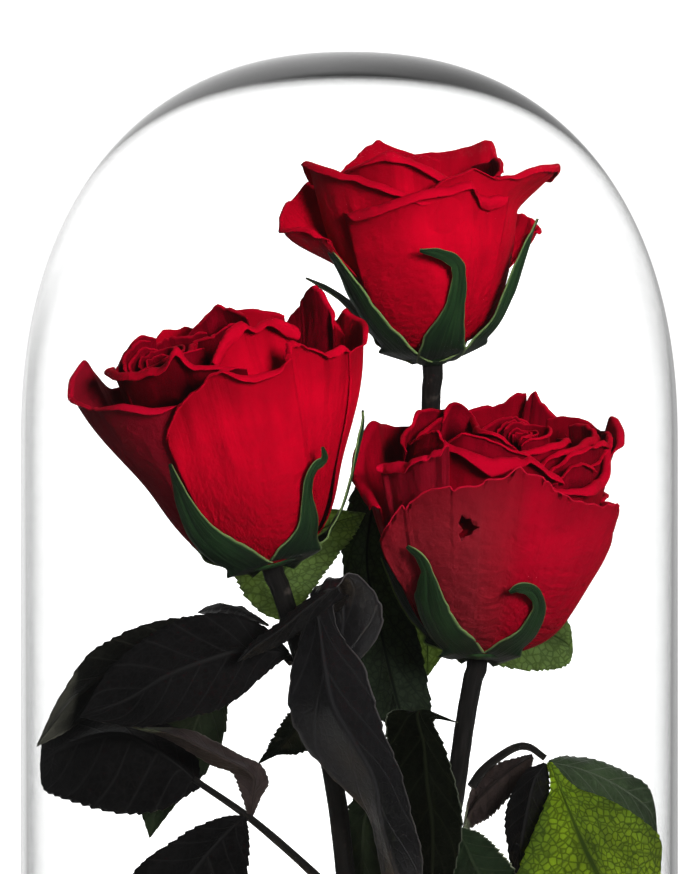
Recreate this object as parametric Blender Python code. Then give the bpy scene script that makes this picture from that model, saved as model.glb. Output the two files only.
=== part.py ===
"""Three preserved roses under a glass dome on a turned wooden base.

Units are metres. The base stands on z = 0, centred on the z axis, and the front faces -Y.
"""

import math

import bmesh
import bpy
from mathutils import Vector

MM = 0.001

# Glass dome and base
OVERALL_HEIGHT = 322 * MM
DOME_RADIUS = 100 * MM
DOME_CROWN = 120 * MM
CROWN_POWER = 2.3
GLASS_WALL = 2.5 * MM
GLASS_TOP = 5.8 * MM
CEILING_POWER = 2.45
BASE_RADIUS = 115 * MM
BASE_HEIGHT = 18 * MM
BASE_EDGE = 5 * MM
GROOVE_DEPTH = 5 * MM
GROOVE_PLAY = 1 * MM
SOCKET_DEPTH = 6 * MM
SOCKET_PLAY = 0.5 * MM
GAP = 0.35 * MM

# Plant
STEM_RADIUS = 3 * MM
PETIOLE_RADIUS = 1.1 * MM
PETAL_THICKNESS = 0.6 * MM
PETAL_LAYER = 1.15 * MM
PETAL_FOOT = 0.9 * MM
LEAF_THICKNESS = 0.5 * MM
STALK_HALF_WIDTH = 0.8 * MM
HUB_RADIUS = 8.5 * MM
HUB_HEIGHT = 5 * MM
SEPAL_CLEARANCE = 1.3 * MM

# Each rose: where its cup sits, how far it leans left and forward in degrees, and the profile of its bud
ROSES = {
    "top": dict(cup=(25.4, 14, 229.3), left=2.5, forward=9, belly=28.3, belly_height=42, fullness=0.27),
    "left": dict(cup=(-23.9, -24, 168.6), left=14, forward=16, belly=33.4, belly_height=40, fullness=0.33),
    "right": dict(cup=(38.7, -14, 139.4), left=-4, forward=12, belly=32.8, belly_height=40, fullness=0.33),
}

# Each petal: its layer counted inwards, its rim as (azimuth in degrees, radius, height) in the rose's own
# frame from one side to the other, and the radius and angle of its rolled lip. Azimuth 0 faces the front.
PETALS = {
    "top": {
        "front": dict(layer=0, lip=(1.5, 150), rim=[
            (-64, 29.5, 45), (-22, 30, 50), (8, 30, 53.5), (38, 30.5, 56.5), (74, 32, 49)]),
        "flared": dict(layer=1, lip=(1.3, 120), flare=0.66, rim=[
            (-124, 36, 47), (-108, 41, 50), (-86, 43.5, 42.5), (-70, 36, 39)]),
        "small": dict(layer=1, lip=(1.2, 120), flare=0.6, rim=[
            (98, 31, 43), (122, 39, 39.5), (152, 33, 46)]),
        "hidden": dict(layer=1, lip=(1.5, 120), rim=[
            (170, 32, 48), (198, 34, 51), (226, 33, 48)]),
        "leftward": dict(layer=3, lip=(1.2, 110), flare=0.7, rim=[
            (-104, 37.5, 62), (-84, 33, 61), (-60, 29.5, 59.5), (-24, 28, 55.5), (2, 27.5, 52)]),
        "pointed": dict(layer=2, lip=(1.2, 120), flare=0.74, rim=[
            (40, 27.5, 56), (62, 29, 57), (92, 43.5, 60.5), (112, 30, 54)]),
        "rear_right": dict(layer=3, lip=(1.3, 110), rim=[
            (118, 30, 56), (146, 38.5, 63), (168, 34, 60)]),
        "rear_left": dict(layer=3, lip=(1.2, 90), rim=[
            (176, 31, 59), (202, 35, 65.5), (228, 32, 60)]),
        "crest": dict(layer=4, lip=(1.2, 120), rim=[
            (-84, 25, 59), (-30, 21, 67), (12, 21, 63), (44, 22, 57)]),
    },
    "left": {
        "front": dict(layer=0, lip=(1.6, 130), rim=[
            (-40, 35, 54), (-20, 36, 61), (-2, 37, 65), (18, 37.5, 65), (38, 38, 64)]),
        "leftmost": dict(layer=1, lip=(1.5, 120), flare=0.55, rim=[
            (-130, 38, 58), (-108, 43, 66), (-88, 46.5, 62), (-64, 38.5, 57), (-42, 36, 54)]),
        "rightmost": dict(layer=1, lip=(1.4, 60), rim=[
            (80, 39.5, 58), (92, 41.5, 66.5), (108, 43.5, 58), (130, 41, 54)]),
        "front_right": dict(layer=2, lip=(1.4, 120), rim=[
            (32, 36, 69), (48, 37, 64.5), (62, 38, 62.5), (77, 37.5, 57)]),
        "rear": dict(layer=2, lip=(1.3, 110), rim=[
            (162, 41, 64), (180, 42.5, 69.5), (204, 40.5, 66), (225, 38, 60)]),
        "rear_right": dict(layer=3, lip=(1.2, 70), rim=[
            (112, 39, 61), (138, 44.5, 69.5), (158, 41, 64)]),
        "inner_left": dict(layer=3, lip=(1.2, 100), rim=[
            (-100, 34.5, 68), (-78, 32, 68), (-50, 31, 66.5), (-28, 30, 69), (0, 31, 65)]),
        "inner_front": dict(layer=4, lip=(1.4, 140), flare=0.6, rim=[
            (10, 26, 70), (34, 24, 75), (66, 25, 73), (92, 27, 68)]),
    },
    "right": {
        "shield": dict(layer=0, lip=(1.0, 40), rim=[
            (-70, 35.5, 42), (-52, 36.5, 50), (-28, 37, 57), (12, 38, 64), (34, 38, 59), (56, 37.5, 53),
            (76, 36.8, 46)]),
        "leftmost": dict(layer=1, lip=(2.0, 150), rim=[
            (-156, 41, 59), (-122, 45, 63), (-104, 43, 53), (-86, 36.5, 47)]),
        "rightmost": dict(layer=1, lip=(1.2, 90), rim=[
            (80, 38, 46), (94, 39.5, 47), (108, 41.5, 53), (124, 39.5, 54)]),
        "front_left": dict(layer=2, lip=(1.3, 120), rim=[
            (-84, 37, 57), (-58, 35.5, 60.5), (-34, 34.5, 66)]),
        "front": dict(layer=3, lip=(1.5, 140), rim=[
            (-38, 31, 68), (-14, 32, 66.5), (10, 32, 67.5), (34, 32.5, 60)]),
        "inner_right": dict(layer=2, lip=(1.3, 100), rim=[
            (36, 34, 59), (72, 36.5, 60.5), (104, 40, 65), (122, 42, 67)]),
        "rear_right": dict(layer=3, lip=(1.3, 100), rim=[
            (130, 41, 62), (146, 43.5, 65.5), (158, 41, 64)]),
        "rear": dict(layer=2, lip=(1.2, 90), rim=[
            (160, 40, 67), (170, 41, 72.5), (186, 41, 68.5), (206, 40, 67)]),
    },
}
FLARE_START = 0.45

# Hearts: height, how much the top closes in, and where the spiral starts
HEARTS = {
    "top": dict(height=63, closing=0.62, turn=40),
    "left": dict(height=72, closing=0.66, turn=-60),
    "right": dict(height=69, closing=0.7, turn=20),
}
HEART_LAYER = 6.2
HEART_STEP = 4.5 * MM

# Sepals: azimuth, length up the bud, half width, and how far the tip stands off and turns sideways
SEPALS = {
    "top": [
        (12, 34, 7, 6, -11), (-62, 34, 7, 4, -2), (-118, 24, 4, 9, -3), (84, 40, 6, 7, 3),
        (178, 26, 6, 3, 0)],
    "left": [
        (-50, 32, 7, 3, -3), (22, 32, 5, 3, 4), (82, 38, 5, 5, 3), (140, 24, 6, 3, 0),
        (-128, 24, 6, 3, 0)],
    "right": [
        (-38, 33, 7, 3, -3), (36, 24, 6, 7, -8), (104, 24, 6, 3, 0), (178, 24, 6, 3, 0),
        (-110, 26, 6, 3, 0)],
}

# Stems: points from the foot to the cup
STEMS = {
    "top": [
        (14, 9, 0), (15.5, 12, 70), (18.5, 17, 120), (22.5, 21, 167), (24.8, 18, 205),
        (25.4, 14, 229.3)],
    "left": [
        (5, -8, 0), (-1.3, -12, 73), (-5.2, -15, 103), (-11.5, -18.5, 129), (-17.7, -21.5, 150),
        (-23.9, -24, 168.6)],
    "right": [(21, -10, 0), (28, -12, 72.6), (32, -13, 98), (35, -13.6, 119.4), (38.7, -14, 139.4)],
}
PETIOLES = {
    "left": [(-4.6, -13.6, 67), (-15, -15.5, 77), (-30, -17, 90), (-44, -15, 99.5)],
    "right": [
        (36.9, -12.5, 99.1), (41, -10.6, 104.5), (49, -10, 110.2), (54.1, -10, 111),
        (59.3, -10, 107.6)],
    "back": [(-17.3, -15.4, 137), (-23, -10, 142), (-30, -6, 144), (-38, -4, 143)],
}

# Leaflets: midrib points, half width, direction that the face looks (or that its side points), fold in
# degrees, and the part of the length that is stalk
LEAVES = {
    "left_front": dict(
        rib=[(-17.6, -23.4, 141), (-32.5, -34, 141), (-51, -38, 136), (-80, -35, 122)],
        half=16.5, face=(0.15, -0.88, 0.4), fold=12, stalk=0.04),
    "left_back": dict(
        rib=[(-39.4, -3.6, 143), (-58, 2, 143), (-78, 3, 134), (-94.5, 1, 112)],
        half=15, face=(0, -0.9, 0.45), fold=14, stalk=0.05),
    "left_low": dict(
        rib=[(-45.2, -15, 100.4), (-58.3, -15, 109.6), (-71, -13, 116.4), (-92, -5, 124)],
        half=19, face=(-0.2, -0.97, 0.1), fold=10, stalk=0.04),
    "left_curled": dict(
        rib=[(-29.6, -19.2, 92), (-31.5, -28, 101), (-43, -32, 114), (-63, -32, 119)],
        half=6.5, face=(0.3, -0.6, 0.75), fold=40, stalk=0.1),
    "left_bottom": dict(
        rib=[(-31, -19.4, 88.4), (-39, -25, 82), (-48, -27, 73), (-60, -26, 54)],
        half=14.5, face=(0.1, -0.85, 0.5), fold=16, stalk=0.06),
    "left_hanging": dict(
        rib=[(-37, -1.6, 141.6), (-42, 12, 121), (-52, 14, 104), (-61, 12, 82)],
        half=11, face=(-0.3, -0.95, 0), fold=20, stalk=0.12),
    "left_edge": dict(
        rib=[(-28.5, -4.2, 146), (-33.5, 6, 151.4), (-39, 13, 153), (-48, 18, 151.6)],
        half=6, face=(0.1, -0.12, 1), fold=10, stalk=0.1),
    "middle_green": dict(
        rib=[(-17.4, -17.6, 149), (-18, -6, 158), (-9, 4, 169), (4, 8, 184)],
        half=16, face=(-0.1, -1, 0.1), fold=8, stalk=0.1),
    "middle_edge": dict(
        rib=[(-15.6, -25.2, 144), (-4, -39, 166), (-17, -47, 158), (-33, -48, 138)],
        half=8, face=(0.4, -0.3, 0.9), fold=40, stalk=0.2),
    "middle_drooping": dict(
        rib=[(-8.4, -21, 128), (8, -26, 146), (6, -35, 154), (-4, -41, 134), (3, -42, 108), (18.6, -39, 73)],
        half=13, side=(0.98, -0.2, 0), fold=20, stalk=0.1),
    "middle_hanging": dict(
        rib=[(19.8, 20, 182), (5, 16, 188), (7, 14, 167), (13, 8, 143), (16, 3, 116)],
        half=11, face=(0, -1, 0.1), fold=14, stalk=0.14),
    "middle_patch": dict(
        rib=[(24.4, 16.6, 154), (27, 12, 148), (28, 9, 140), (26, 8, 131)],
        half=7, face=(0, -1, 0.2), fold=12, stalk=0.12),
    "middle_dark": dict(
        rib=[(31.2, -17, 117), (22, -21, 122), (23, -22.5, 104), (25, -23, 86), (26.5, -21, 54)],
        half=11, face=(0.1, -1, 0.1), fold=18, stalk=0.12),
    "middle_small": dict(
        rib=[(-10.8, -14, 122), (-15, -4, 121.4), (-20.5, 2, 114), (-27.3, 3, 104.5)],
        half=8, face=(0, -0.9, 0.3), fold=16, stalk=0.1),
    "middle_low": dict(
        rib=[(14.6, 13, 106), (5, 4, 98), (3, -1, 79), (3, -2, 52)],
        half=9, face=(-0.1, -1, 0.1), fold=16, stalk=0.12),
    "middle_rimmed": dict(
        rib=[(30.4, -16.6, 86), (33.5, -18, 82), (39, -19, 72), (46, -16, 54)],
        half=9, face=(0.1, -0.98, 0.2), fold=16, stalk=0.08),
    "right_upper": dict(
        rib=[(25.6, 18.6, 148), (40, 19, 148), (56, 17, 143), (68.4, 13, 137)],
        half=12, face=(-0.1, -0.9, 0.3), fold=8, stalk=0.12),
    "right_bright": dict(
        rib=[(59.7, -12.6, 105.6), (65, -18, 92), (71, -19, 76), (82, -17, 40)],
        half=25, face=(0.53, -0.85, 0.1), fold=13, stalk=0.04),
    "right_glossy": dict(
        rib=[(61.4, -7.6, 108.2), (73, 0, 103), (84, 4, 95), (92, 6, 80)],
        half=10.5, face=(0.3, -0.7, 0.65), fold=14, stalk=0.06),
    "right_dark": dict(
        rib=[(55.6, -11.8, 109), (52.5, -12, 98), (51, -14, 86), (51, -13, 60)],
        half=8.5, face=(-0.1, -0.98, 0.1), fold=20, stalk=0.06),
    "right_pale": dict(
        rib=[(52, -8, 111), (48, 3, 105), (42, 8, 98), (35, 10, 90)],
        half=7.5, face=(0, -0.8, 0.6), fold=16, stalk=0.08),
}


def clear_scene():
    for obj in list(bpy.data.objects):
        bpy.data.objects.remove(obj, do_unlink=True)


def material(name, colour, roughness, transmission=0.0):
    made = bpy.data.materials.new(name)
    made.use_nodes = True
    shader = made.node_tree.nodes["Principled BSDF"]
    shader.inputs["Base Color"].default_value = (*colour, 1)
    shader.inputs["Roughness"].default_value = roughness
    shader.inputs["Transmission Weight"].default_value = transmission
    made.diffuse_color = (*colour, 1)
    return made


def add_mesh(name, points, faces, look, smooth=True):
    """An object from points in metres and faces, its normals turned outwards."""
    mesh = bpy.data.meshes.new(name)
    mesh.from_pydata([tuple(point) for point in points], [], faces)
    edit = bmesh.new()
    edit.from_mesh(mesh)
    bmesh.ops.recalc_face_normals(edit, faces=edit.faces)
    edit.to_mesh(mesh)
    edit.free()
    for face in mesh.polygons:
        face.use_smooth = smooth
    obj = bpy.data.objects.new(name, mesh)
    bpy.context.scene.collection.objects.link(obj)
    obj.data.materials.append(look)
    return obj


def lathe(name, profile, segments, look):
    """Turns a closed profile of (radius, height) about the z axis, its points on the axis made one."""
    points, rings = [], []
    for radius, height in profile:
        if radius < 1e-6:
            rings.append([len(points)] * segments)
            points.append((0, 0, height))
            continue
        rings.append(list(range(len(points), len(points) + segments)))
        for i in range(segments):
            angle = 2 * math.pi * i / segments
            points.append((radius * math.cos(angle), radius * math.sin(angle), height))
    faces = []
    for a, b in zip(rings, rings[1:] + rings[:1]):
        for i in range(segments):
            j = (i + 1) % segments
            corners = list(dict.fromkeys((a[i], a[j], b[j], b[i])))
            if len(corners) > 2:
                faces.append(corners)
    return add_mesh(name, points, faces, look)


def crown(radius, height, power, steps):
    """(radius, height) points of a superellipse from its springing to its top."""
    made = []
    for i in range(steps + 1):
        angle = 0.5 * math.pi * i / steps
        across = max(math.cos(angle), 0) ** (2 / power)
        made.append((radius * across if i < steps else 0, height * math.sin(angle) ** (2 / power)))
    return made


def glass_dome(look):
    spring = OVERALL_HEIGHT - DOME_CROWN
    rim = BASE_HEIGHT - GROOVE_DEPTH + GAP
    half = GLASS_WALL / 2
    middle = DOME_RADIUS - half
    foot = [(middle + half * math.sin(a), rim + half - half * math.cos(a)) for a in (-1.1, 0, 1.1)]
    outer = [(r, spring + z) for r, z in crown(DOME_RADIUS, DOME_CROWN, CROWN_POWER, 8)]
    inner = crown(DOME_RADIUS - GLASS_WALL, DOME_CROWN - GLASS_TOP, CEILING_POWER, 7)
    inner = [(r, spring + z) for r, z in reversed(inner)]
    return lathe("glass_dome", foot + outer + inner, 32, look)


def wooden_base(look):
    """A disc with rounded edges, a groove for the glass and three holes for the stems."""
    groove_out = DOME_RADIUS + GROOVE_PLAY
    groove_in = DOME_RADIUS - GLASS_WALL - GROOVE_PLAY
    floor = BASE_HEIGHT - GROOVE_DEPTH
    turn = [math.radians(a) for a in (0, 45, 90)]
    foot = 0.4 * BASE_EDGE
    low = [(BASE_RADIUS - foot * (1 - math.sin(a)), foot * (1 - math.cos(a))) for a in turn]
    top_edge = BASE_RADIUS - BASE_EDGE, BASE_HEIGHT - BASE_EDGE
    high = [(top_edge[0] + BASE_EDGE * math.cos(a), top_edge[1] + BASE_EDGE * math.sin(a)) for a in turn]
    profile = [(0, 0), *low, *high, (groove_out, BASE_HEIGHT), (groove_out, floor), (groove_in, floor)]
    profile += [(groove_in, BASE_HEIGHT), (0, BASE_HEIGHT)]
    base = lathe("wooden_base", profile, 36, look)
    for face in base.data.polygons:
        face.use_smooth = abs(face.normal.z) < 0.99
    for name, route in STEMS.items():
        hole = lathe(
            "hole_" + name,
            [
                (0, BASE_HEIGHT - SOCKET_DEPTH),
                (STEM_RADIUS + SOCKET_PLAY, BASE_HEIGHT - SOCKET_DEPTH),
                (STEM_RADIUS + SOCKET_PLAY, BASE_HEIGHT + 4 * MM),
                (0, BASE_HEIGHT + 4 * MM),
            ],
            12,
            look,
        )
        foot = stem_foot(route)
        hole.location = (foot.x, foot.y, 0)
        hole.hide_render = True
        hole.display_type = "WIRE"
        cut = base.modifiers.new("socket_" + name, "BOOLEAN")
        cut.operation = "DIFFERENCE"
        cut.object = hole
        cut.solver = "EXACT"
    return base


def stem_foot(route):
    return Vector(route[0]) * MM


def spline(points, t):
    """A point on the Catmull-Rom curve through the points, with t from 0 to 1."""
    points = [Vector(p) for p in points]
    last = len(points) - 1
    place = min(max(t, 0), 1) * last
    i = min(int(place), last - 1)
    f = place - i
    a = points[i - 1] if i else 2 * points[0] - points[1]
    b, c = points[i], points[i + 1]
    d = points[i + 2] if i + 2 <= last else 2 * points[last] - points[last - 1]
    return 0.5 * (2 * b + (c - a) * f + (2 * a - 5 * b + 4 * c - d) * f * f + (3 * b - a - 3 * c + d) * f**3)


def tube(name, centres, radii, sides, look):
    """A closed tube with flat ends through the centres, in metres."""
    points, faces = [], []
    side = Vector((1, 0, 0))
    for i, centre in enumerate(centres):
        ahead = centres[min(i + 1, len(centres) - 1)] - centres[max(i - 1, 0)]
        if i == len(centres) - 1:
            ahead = centres[i] - centres[i - 1]
        ahead.normalize()
        side = (side - side.dot(ahead) * ahead).normalized()
        up = ahead.cross(side)
        for k in range(sides):
            angle = 2 * math.pi * k / sides
            points.append(centre + radii[i] * (math.cos(angle) * side + math.sin(angle) * up))
    for i in range(len(centres) - 1):
        for k in range(sides):
            n = (k + 1) % sides
            a, b = i * sides, (i + 1) * sides
            faces.append((a + k, a + n, b + n, b + k))
    faces.append(tuple(range(sides)))
    faces.append(tuple(range(len(points) - sides, len(points))))
    return add_mesh(name, points, faces, look)


def add_stems(look):
    for name, route in STEMS.items():
        count = 7
        centres = [spline(route, i / (count - 1)) * MM for i in range(count)]
        centres[0].z = BASE_HEIGHT - SOCKET_DEPTH + GAP
        centres[0].x, centres[0].y = stem_foot(route).x, stem_foot(route).y
        centres.insert(1, Vector((centres[0].x, centres[0].y, BASE_HEIGHT + 2 * MM)))
        lean = rose_axis(ROSES[name])
        top = Vector(ROSES[name]["cup"]) * MM
        centres[-1:] = [top - lean * (HUB_HEIGHT + 5 * MM), top - lean * (HUB_HEIGHT + GAP)]
        tube("stem_" + name, centres, [STEM_RADIUS] * len(centres), 8, look)


def add_petioles(look):
    for name, route in PETIOLES.items():
        count = 7
        centres = [spline(route, i / (count - 1)) * MM for i in range(count)]
        radii = [PETIOLE_RADIUS * (1.35 - 0.45 * i / (count - 1)) for i in range(count)]
        tube("petiole_" + name, centres, radii, 6, look)


def rose_axis(rose):
    lean = Vector((-math.tan(math.radians(rose["left"])), -math.tan(math.radians(rose["forward"])), 1))
    return lean.normalized()


def rose_frame(name):
    """An empty at the flower's cup, its z axis along the flower's."""
    rose = ROSES[name]
    frame = bpy.data.objects.new("frame_" + name, None)
    bpy.context.scene.collection.objects.link(frame)
    frame.location = Vector(rose["cup"]) * MM
    frame.rotation_mode = "QUATERNION"
    frame.rotation_quaternion = Vector((0, 0, 1)).rotation_difference(rose_axis(rose))
    return frame


def bud_radius(rose, height):
    return rose["belly"] * (max(height, 0.05) / rose["belly_height"]) ** rose["fullness"]


def bud_point(rose, height, inwards):
    """(radius, height) in millimetres on the bud's side, moved inwards at a right angle to it."""
    radius = bud_radius(rose, height)
    slope = radius * rose["fullness"] / max(height, 0.05)
    size = math.hypot(1, slope)
    return radius - inwards / size, height + inwards * slope / size


def smooth_step(t):
    t = min(max(t, 0), 1)
    return t * t * (3 - 2 * t)


def direction(azimuth):
    angle = math.radians(azimuth)
    return Vector((math.sin(angle), -math.cos(angle), 0))


def petal_column(rose, petal, across, rows, lip_steps):
    """The points of one petal from its foot to the end of its lip, at one place across it."""
    azimuth, rim_radius, rim_height = spline(petal["rim"], across)
    middle = spline(petal["rim"], 0.5).x
    inwards = petal["layer"] * PETAL_LAYER / MM
    start = PETAL_FOOT / MM
    flare_start = petal.get("flare", FLARE_START)
    top_radius, top_height = bud_point(rose, rim_height, inwards)
    column = []
    profile = []
    for i in range(rows + 1):
        t = i / rows
        height = start + (rim_height - start) * t**1.7
        radius, height = bud_point(rose, height, inwards)
        flare = smooth_step((t - flare_start) / (1 - flare_start)) ** 1.3
        radius += (rim_radius - top_radius) * flare
        height += (rim_height - top_height) * flare
        profile.append((radius, height))
        spread = 0.5 + 0.5 * smooth_step(t / 0.7)
        column.append((middle + (azimuth - middle) * spread, radius, height))
    ahead_r = profile[-1][0] - profile[-2][0]
    ahead_z = profile[-1][1] - profile[-2][1]
    size = math.hypot(ahead_r, ahead_z)
    ahead_r, ahead_z = ahead_r / size, ahead_z / size
    roll, turn = petal["lip"]
    for i in range(1, lip_steps + 1):
        angle = math.radians(turn) * i / lip_steps
        forward, outward = roll * math.sin(angle), roll * (1 - math.cos(angle))
        radius = profile[-1][0] + forward * ahead_r + outward * ahead_z
        height = profile[-1][1] + forward * ahead_z - outward * ahead_r
        column.append((azimuth, radius, height))
    return [(direction(a) * r + Vector((0, 0, h))) * MM for a, r, h in column]


def sheet(name, columns, thickness, look):
    """A thin closed sheet from columns of points, thickened evenly to both sides."""
    rows = len(columns[0])
    points = [point for column in columns for point in column]
    faces = [
        (i * rows + j, (i + 1) * rows + j, (i + 1) * rows + j + 1, i * rows + j + 1)
        for i in range(len(columns) - 1)
        for j in range(rows - 1)
    ]
    obj = add_mesh(name, points, faces, look)
    solid = obj.modifiers.new("thickness", "SOLIDIFY")
    solid.thickness = thickness
    solid.offset = 0
    return obj


def add_petals(name, frame, look):
    rose = ROSES[name]
    for petal_name, petal in PETALS[name].items():
        columns = 6 if len(petal["rim"]) > 3 else 5
        grid = [petal_column(rose, petal, i / (columns - 1), 4, 1) for i in range(columns)]
        obj = sheet(f"petal_{name}_{petal_name}", grid, PETAL_THICKNESS, look)
        obj.parent = frame


def add_heart(name, frame, look):
    """The furled inner petals as one solid with a spiral of steps on its top."""
    rose, heart = ROSES[name], HEARTS[name]
    inwards = HEART_LAYER * PETAL_LAYER / MM
    segments = 12
    side_rows = 5
    rings = []
    for j in range(side_rows + 1):
        t = j / side_rows
        base_height = 1.2 + (heart["height"] - 1.2) * t**1.4
        radius, height = bud_point(rose, base_height, inwards)
        radius *= 1 - (1 - heart["closing"]) * smooth_step((t - 0.4) / 0.6)
        rings.append((radius, height))
    top_radius, top_height = rings[-1]
    for part, drop in ((0.8, 0.3), (0.72, 3.5), (0.5, 0.8), (0.42, 4.2), (0.22, 1.8)):
        rings.append((top_radius * part, top_height - drop))
    points, faces = [], []
    for j, (radius, height) in enumerate(rings):
        for k in range(segments):
            azimuth = 360 * k / segments
            step = ((azimuth - heart["turn"]) % 120) / 120 - 0.5
            lift = HEART_STEP / MM * step * smooth_step((j - 3) / 2)
            points.append((direction(azimuth) * radius + Vector((0, 0, height + lift))) * MM)
    for j in range(len(rings) - 1):
        for k in range(segments):
            n = (k + 1) % segments
            faces.append((j * segments + k, j * segments + n, (j + 1) * segments + n, (j + 1) * segments + k))
    foot, pit = len(points), len(points) + 1
    points.append(Vector((0, 0, rings[0][1])) * MM)
    points.append(Vector((0, 0, top_height - 6)) * MM)
    last = (len(rings) - 1) * segments
    for k in range(segments):
        n = (k + 1) % segments
        faces.append((foot, k, n))
        faces.append((pit, last + k, last + n))
    obj = add_mesh("heart_" + name, points, faces, look)
    obj.parent = frame


def sepal_columns(rose, azimuth, length, half, stand_off, turn, rows):
    columns = [[], [], []]
    for i in range(rows + 1):
        t = i / rows
        height = max(0.4, length * t**1.3)
        radius, height = bud_point(rose, height, -SEPAL_CLEARANCE / MM)
        if i == 0:
            radius, height = HUB_RADIUS / MM * 0.55, -2.2
        elif i == 1:
            radius, height = max(radius * 0.8, HUB_RADIUS / MM * 1.15), -0.6
        away = smooth_step((t - 0.45) / 0.55)
        radius += stand_off * away
        width = half * (0.75 + 0.5 * smooth_step(t / 0.2)) * (1 - t**1.6) + 0.35
        width = min(width, 0.48 * radius)
        for column, side in zip(columns, (-1, 0, 1)):
            shift = side * width + turn * away**2
            point = direction(azimuth) * (radius + 0.12 * width * (1 - abs(side)))
            sideways = direction(azimuth + 90)
            column.append((point + sideways * shift + Vector((0, 0, height))) * MM)
            if i > 1:
                column[-1] = hug(rose, column[-1], radius)
    return columns


def hug(rose, point, radius):
    """Keeps a sepal's side as far from the axis as its middle, so that it lies round the bud."""
    flat = Vector((point.x, point.y, 0))
    if flat.length > 1e-9:
        flat = flat.normalized() * max(flat.length, radius * MM)
        angle_limit = radius * MM
        flat = flat.normalized() * min(flat.length, angle_limit * 1.02)
    return Vector((flat.x, flat.y, point.z))


def add_calyx(name, frame, look):
    rose = ROSES[name]
    profile = [
        (0, -HUB_HEIGHT),
        (STEM_RADIUS * 1.15, -HUB_HEIGHT),
        (HUB_RADIUS * 0.8, -HUB_HEIGHT * 0.55),
        (HUB_RADIUS, -HUB_HEIGHT * 0.2),
        (HUB_RADIUS * 0.8, -HUB_HEIGHT * 0.02),
        (0, 0),
    ]
    calyx = lathe("calyx_" + name, profile, 10, look)
    calyx.parent = frame
    for i, (azimuth, length, half, stand_off, turn) in enumerate(SEPALS[name]):
        columns = sepal_columns(rose, azimuth, length, half, stand_off, turn, 5 if length > 28 else 4)
        sepal = sheet(f"sepal_{name}_{i}", columns, PETAL_THICKNESS, look)
        sepal.parent = frame
        sepal.hide_render = True
        sepal.display_type = "WIRE"
        join = calyx.modifiers.new(f"sepal_{i}", "BOOLEAN")
        join.operation = "UNION"
        join.object = sepal
        join.solver = "EXACT"


def leaf_half_width(leaf, t):
    """Half width of the blade in millimetres: a narrow stalk, then a pointed oval."""
    stalk = leaf["stalk"]
    thin = STALK_HALF_WIDTH / MM
    if t <= stalk:
        return thin
    along = (t - stalk) / (1 - stalk)
    return thin * (1 - along) + 0.3 + leaf["half"] * math.sin(math.pi * along**0.8) ** 0.8


def add_leaf(name, leaf, look):
    rows, sides = 6, (-1, -0.5, 0, 0.5, 1) if leaf["half"] > 14 else (-1, 0, 1)
    face = Vector(leaf.get("face", (0, 0, 1))).normalized()
    fold = math.radians(leaf["fold"])
    columns = [[] for _ in sides]
    for i in range(rows + 1):
        t = i / rows
        if i == 1:
            t = leaf["stalk"]
        middle = spline(leaf["rib"], t)
        ahead = (spline(leaf["rib"], t + 0.02) - spline(leaf["rib"], t - 0.02)).normalized()
        side = Vector(leaf["side"]) if "side" in leaf else ahead.cross(face)
        side = (side - side.dot(ahead) * ahead).normalized()
        up = side.cross(ahead)
        half = leaf_half_width(leaf, t)
        for column, s in zip(columns, sides):
            reach = abs(s) * half
            across = math.copysign(reach * math.cos(fold), s) if s else 0
            lift = reach * math.sin(fold) - 0.1 * reach * reach / max(leaf["half"], 1)
            column.append((middle + side * across + up * lift) * MM)
    sheet("leaf_" + name, columns, LEAF_THICKNESS, look)


def main():
    clear_scene()
    glass = material("clear glass", (0.9, 0.95, 0.92), 0.02, transmission=1)
    wood = material("pale wood", (0.62, 0.45, 0.28), 0.45)
    petal_red = material("deep red petals", (0.42, 0.004, 0.02), 0.6)
    heart_red = material("dark red inner petals", (0.3, 0.003, 0.014), 0.6)
    bark = material("dark stems", (0.03, 0.025, 0.02), 0.55)
    sepal_green = material("green sepals", (0.03, 0.07, 0.03), 0.6)
    leaf_green = material("dark green leaves", (0.02, 0.03, 0.015), 0.5)
    glass_dome(glass)
    wooden_base(wood)
    add_stems(bark)
    add_petioles(bark)
    for name in ROSES:
        frame = rose_frame(name)
        add_calyx(name, frame, sepal_green)
        add_petals(name, frame, petal_red)
        add_heart(name, frame, heart_red)
    for name, leaf in LEAVES.items():
        add_leaf(name, leaf, leaf_green)
    bpy.context.view_layer.update()


main()
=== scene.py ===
"""Three preserved roses under a glass dome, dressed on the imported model.

Units are metres, apart from tables and profiles in millimetres. The base stands on z = 0 and the front
faces -Y.
"""

import math

import bpy
import numpy as np
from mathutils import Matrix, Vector


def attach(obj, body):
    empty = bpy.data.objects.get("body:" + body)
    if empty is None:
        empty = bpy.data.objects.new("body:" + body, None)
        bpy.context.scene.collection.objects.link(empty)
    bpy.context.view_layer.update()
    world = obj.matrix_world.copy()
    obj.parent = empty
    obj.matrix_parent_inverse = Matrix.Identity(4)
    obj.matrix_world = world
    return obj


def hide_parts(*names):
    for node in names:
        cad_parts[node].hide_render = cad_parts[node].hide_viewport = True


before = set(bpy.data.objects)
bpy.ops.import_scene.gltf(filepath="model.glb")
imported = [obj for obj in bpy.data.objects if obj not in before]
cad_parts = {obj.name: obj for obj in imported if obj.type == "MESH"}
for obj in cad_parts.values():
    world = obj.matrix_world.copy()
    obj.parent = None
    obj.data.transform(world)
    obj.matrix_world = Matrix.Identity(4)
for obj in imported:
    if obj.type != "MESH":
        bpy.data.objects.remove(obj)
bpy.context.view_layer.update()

MM = 0.001

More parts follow.
